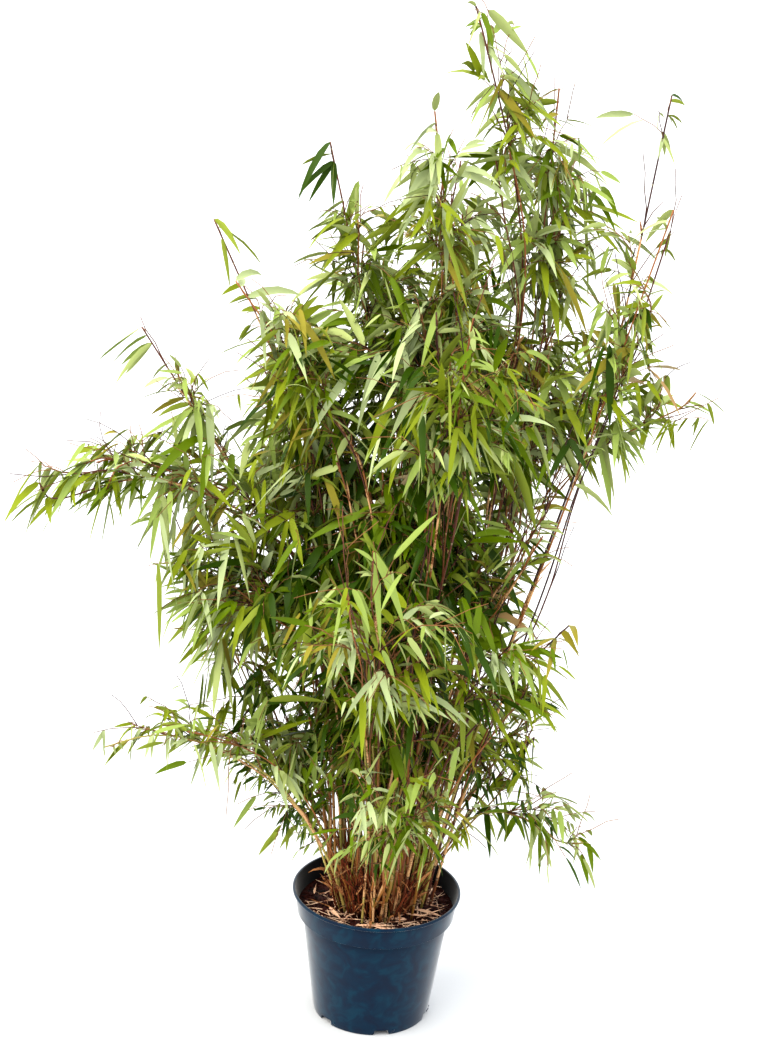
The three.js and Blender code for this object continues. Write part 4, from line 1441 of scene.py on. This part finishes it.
class BAMBOO_OT_foliage(bpy.types.Operator):
    """Grow the twigs from the canes' joints and the leaves from the twigs"""
    bl_idname = "bamboo.foliage"
    bl_label = "Twigs and leaves"

    def execute(self, context):
        settings = context.scene.bamboo_foliage
        random = np.random.default_rng(SEED + 30)
        canes = grow_canes(context.scene.bamboo_cane.slender)
        branches = branch_twigs(canes, settings.sprays, settings.low_sprays, random)
        forks = fork_twigs(branches, len(canes), random)
        bark = fibrous("twig_bark", settings.twig_dark, settings.twig_light, 0.6, "twig_tone")
        thick = np.minimum(BRANCH_TWIG, 0.0007 + branches["length"] * 0.004)
        thin = np.full(len(forks["start"]), SIDE_TWIG)
        for name, twigs, width, sides, rings in (("branch_twigs", branches, thick, 4, 6),
                                                 ("side_twigs", forks, thin, 3, 4)):
            vertices, faces, tone = twig_mesh(twigs, width, sides, rings, random)
            place(build_object(name, vertices, faces, [bark], tones={"twig_tone": tone}), "cane")
        young = fibrous("young_twig", settings.shoot_dark, settings.shoot_light, 0.55, "twig_tone")
        shoots = bare_shoots(joint_table(canes), settings.shoots, random)
        width = np.full(settings.shoots, BARE_SHOOT)
        vertices, faces, tone = twig_mesh(shoots, width, 4, 5, random)
        piece = build_object("bare_shoots", vertices, faces, [young], tones={"twig_tone": tone})
        place(piece, "cane")
        twigs = {key: np.concatenate([branches[key], forks[key]]) for key in branches}
        leaves = dress_twigs(twigs, settings, random)
        tints = [leaf_blade("leaf_" + name, getattr(settings, name), roughness)
                 for name, roughness in LEAF_TINTS]
        under = [leaf_blade("leaf_" + name, getattr(settings, name), UNDERSIDE_ROUGHNESS)
                 for name in UNDERSIDES]
        dealt = deal_tints(branches, settings.dry_sprays, random)
        dealt = dealt[twigs["parent"]][leaves["twig"]]
        kept = fitting_leaves(leaves, twigs["free"][leaves["twig"]] > 0)
        plume = twigs["plume"][leaves["twig"]]
        for group in LEAF_GROUPS:
            nodes = [name for name in PLUME_NODES if name.startswith("foliage_" + group)]
            members = [PLUME_NODES.index(name) for name in nodes]
            chosen = kept & np.isin(plume, members)
            blades = {key: value[chosen] for key, value in leaves.items() if key != "twig"}
            vertices, faces, surface, underside = leaf_blades(**blades)
            upper = dealt[chosen]
            lower = np.where(upper == len(tints) - 1, len(under) - 1, upper % (len(under) - 1))
            faces_each = len(underside) // len(upper)
            look = np.where(underside == 1, np.repeat(len(tints) + lower, faces_each),
                            np.repeat(upper, faces_each))
            piece = build_object("leaves_" + group, vertices, faces, tints + under, look,
                                 uv=surface, sharp_angle=BLADE_EDGE)
            place(piece, "foliage", nodes)
        return {"FINISHED"}


class BAMBOO_OT_stage(bpy.types.Operator):
    """Lay the studio floor and set up the soft light and the camera"""
    bl_idname = "bamboo.stage"
    bl_label = "Studio"

    def execute(self, context):
        scene = context.scene
        settings = scene.bamboo_stage
        corners = np.array([[-1, -1, 0], [1, -1, 0], [1, 1, 0], [-1, 1, 0]]) * settings.floor / 2
        floor = build_object("studio_floor", corners, [np.array([[0, 1, 2, 3]])],
                             [studio_floor_paint(settings)])
        world = bpy.data.worlds.new("white_room")
        world.use_nodes = True
        background = world.node_tree.nodes["Background"]
        background.inputs["Color"].default_value = (1.0, 1.0, 1.0, 1.0)
        background.inputs["Strength"].default_value = settings.sky
        scene.world = world
        soft_light("key_light", (0.75, 0.5, -1.0), settings.key, "#fffaf0")
        soft_light("fill_light", (-0.8, 0.35, -0.9), settings.key * 0.45, "#f6f9ff")
        soft_light("back_light", (-0.1, -0.9, -1.0), settings.key * 0.4, "#ffffff")
        lens = bpy.data.cameras.new("camera")
        lens.lens = settings.lens
        lens.sensor_width = 36.0
        lens.clip_end = 2000.0
        camera = bpy.data.objects.new("camera", lens)
        scene.collection.objects.link(camera)
        stand = Matrix.Translation((0, -settings.distance, settings.height))
        camera.matrix_world = stand @ aim(settings)
        scene.camera = camera
        scene.view_settings.view_transform = "Standard"
        scene.view_settings.exposure = settings.exposure
        scene.view_settings.gamma = settings.gamma
        return {"FINISHED"}


class BAMBOO_PT_panel(bpy.types.Panel):
    """Lists the steps that make the plant"""
    bl_idname = "BAMBOO_PT_panel"
    bl_label = "Potted bamboo"
    bl_space_type = "VIEW_3D"
    bl_region_type = "UI"
    bl_category = "Bamboo"

    def draw(self, context):
        for operator in OPERATORS:
            self.layout.operator(operator.bl_idname)


SETTINGS = {"bamboo_pot": PotSettings, "bamboo_compost": CompostSettings, "bamboo_cane": CaneSettings,
            "bamboo_foliage": FoliageSettings, "bamboo_stage": StageSettings}
OPERATORS = (BAMBOO_OT_pot, BAMBOO_OT_compost, BAMBOO_OT_canes, BAMBOO_OT_foliage, BAMBOO_OT_stage)
CLASSES = (*SETTINGS.values(), *OPERATORS, BAMBOO_PT_panel)


def register():
    """Makes the classes known to Blender and hangs the settings on the scene."""
    for item in CLASSES:
        bpy.utils.register_class(item)
    for name, group in SETTINGS.items():
        setattr(bpy.types.Scene, name, PointerProperty(type=group))


def unregister():
    """Takes the settings and the classes away again."""
    for name in SETTINGS:
        delattr(bpy.types.Scene, name)
    for item in reversed(CLASSES):
        bpy.utils.unregister_class(item)


def main():
    """Registers the add-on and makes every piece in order."""
    register()
    bpy.ops.bamboo.pot()
    bpy.ops.bamboo.compost()
    bpy.ops.bamboo.canes()
    bpy.ops.bamboo.foliage()
    bpy.ops.bamboo.stage()
    bpy.context.view_layer.update()


if __name__ == "__main__":
    main()
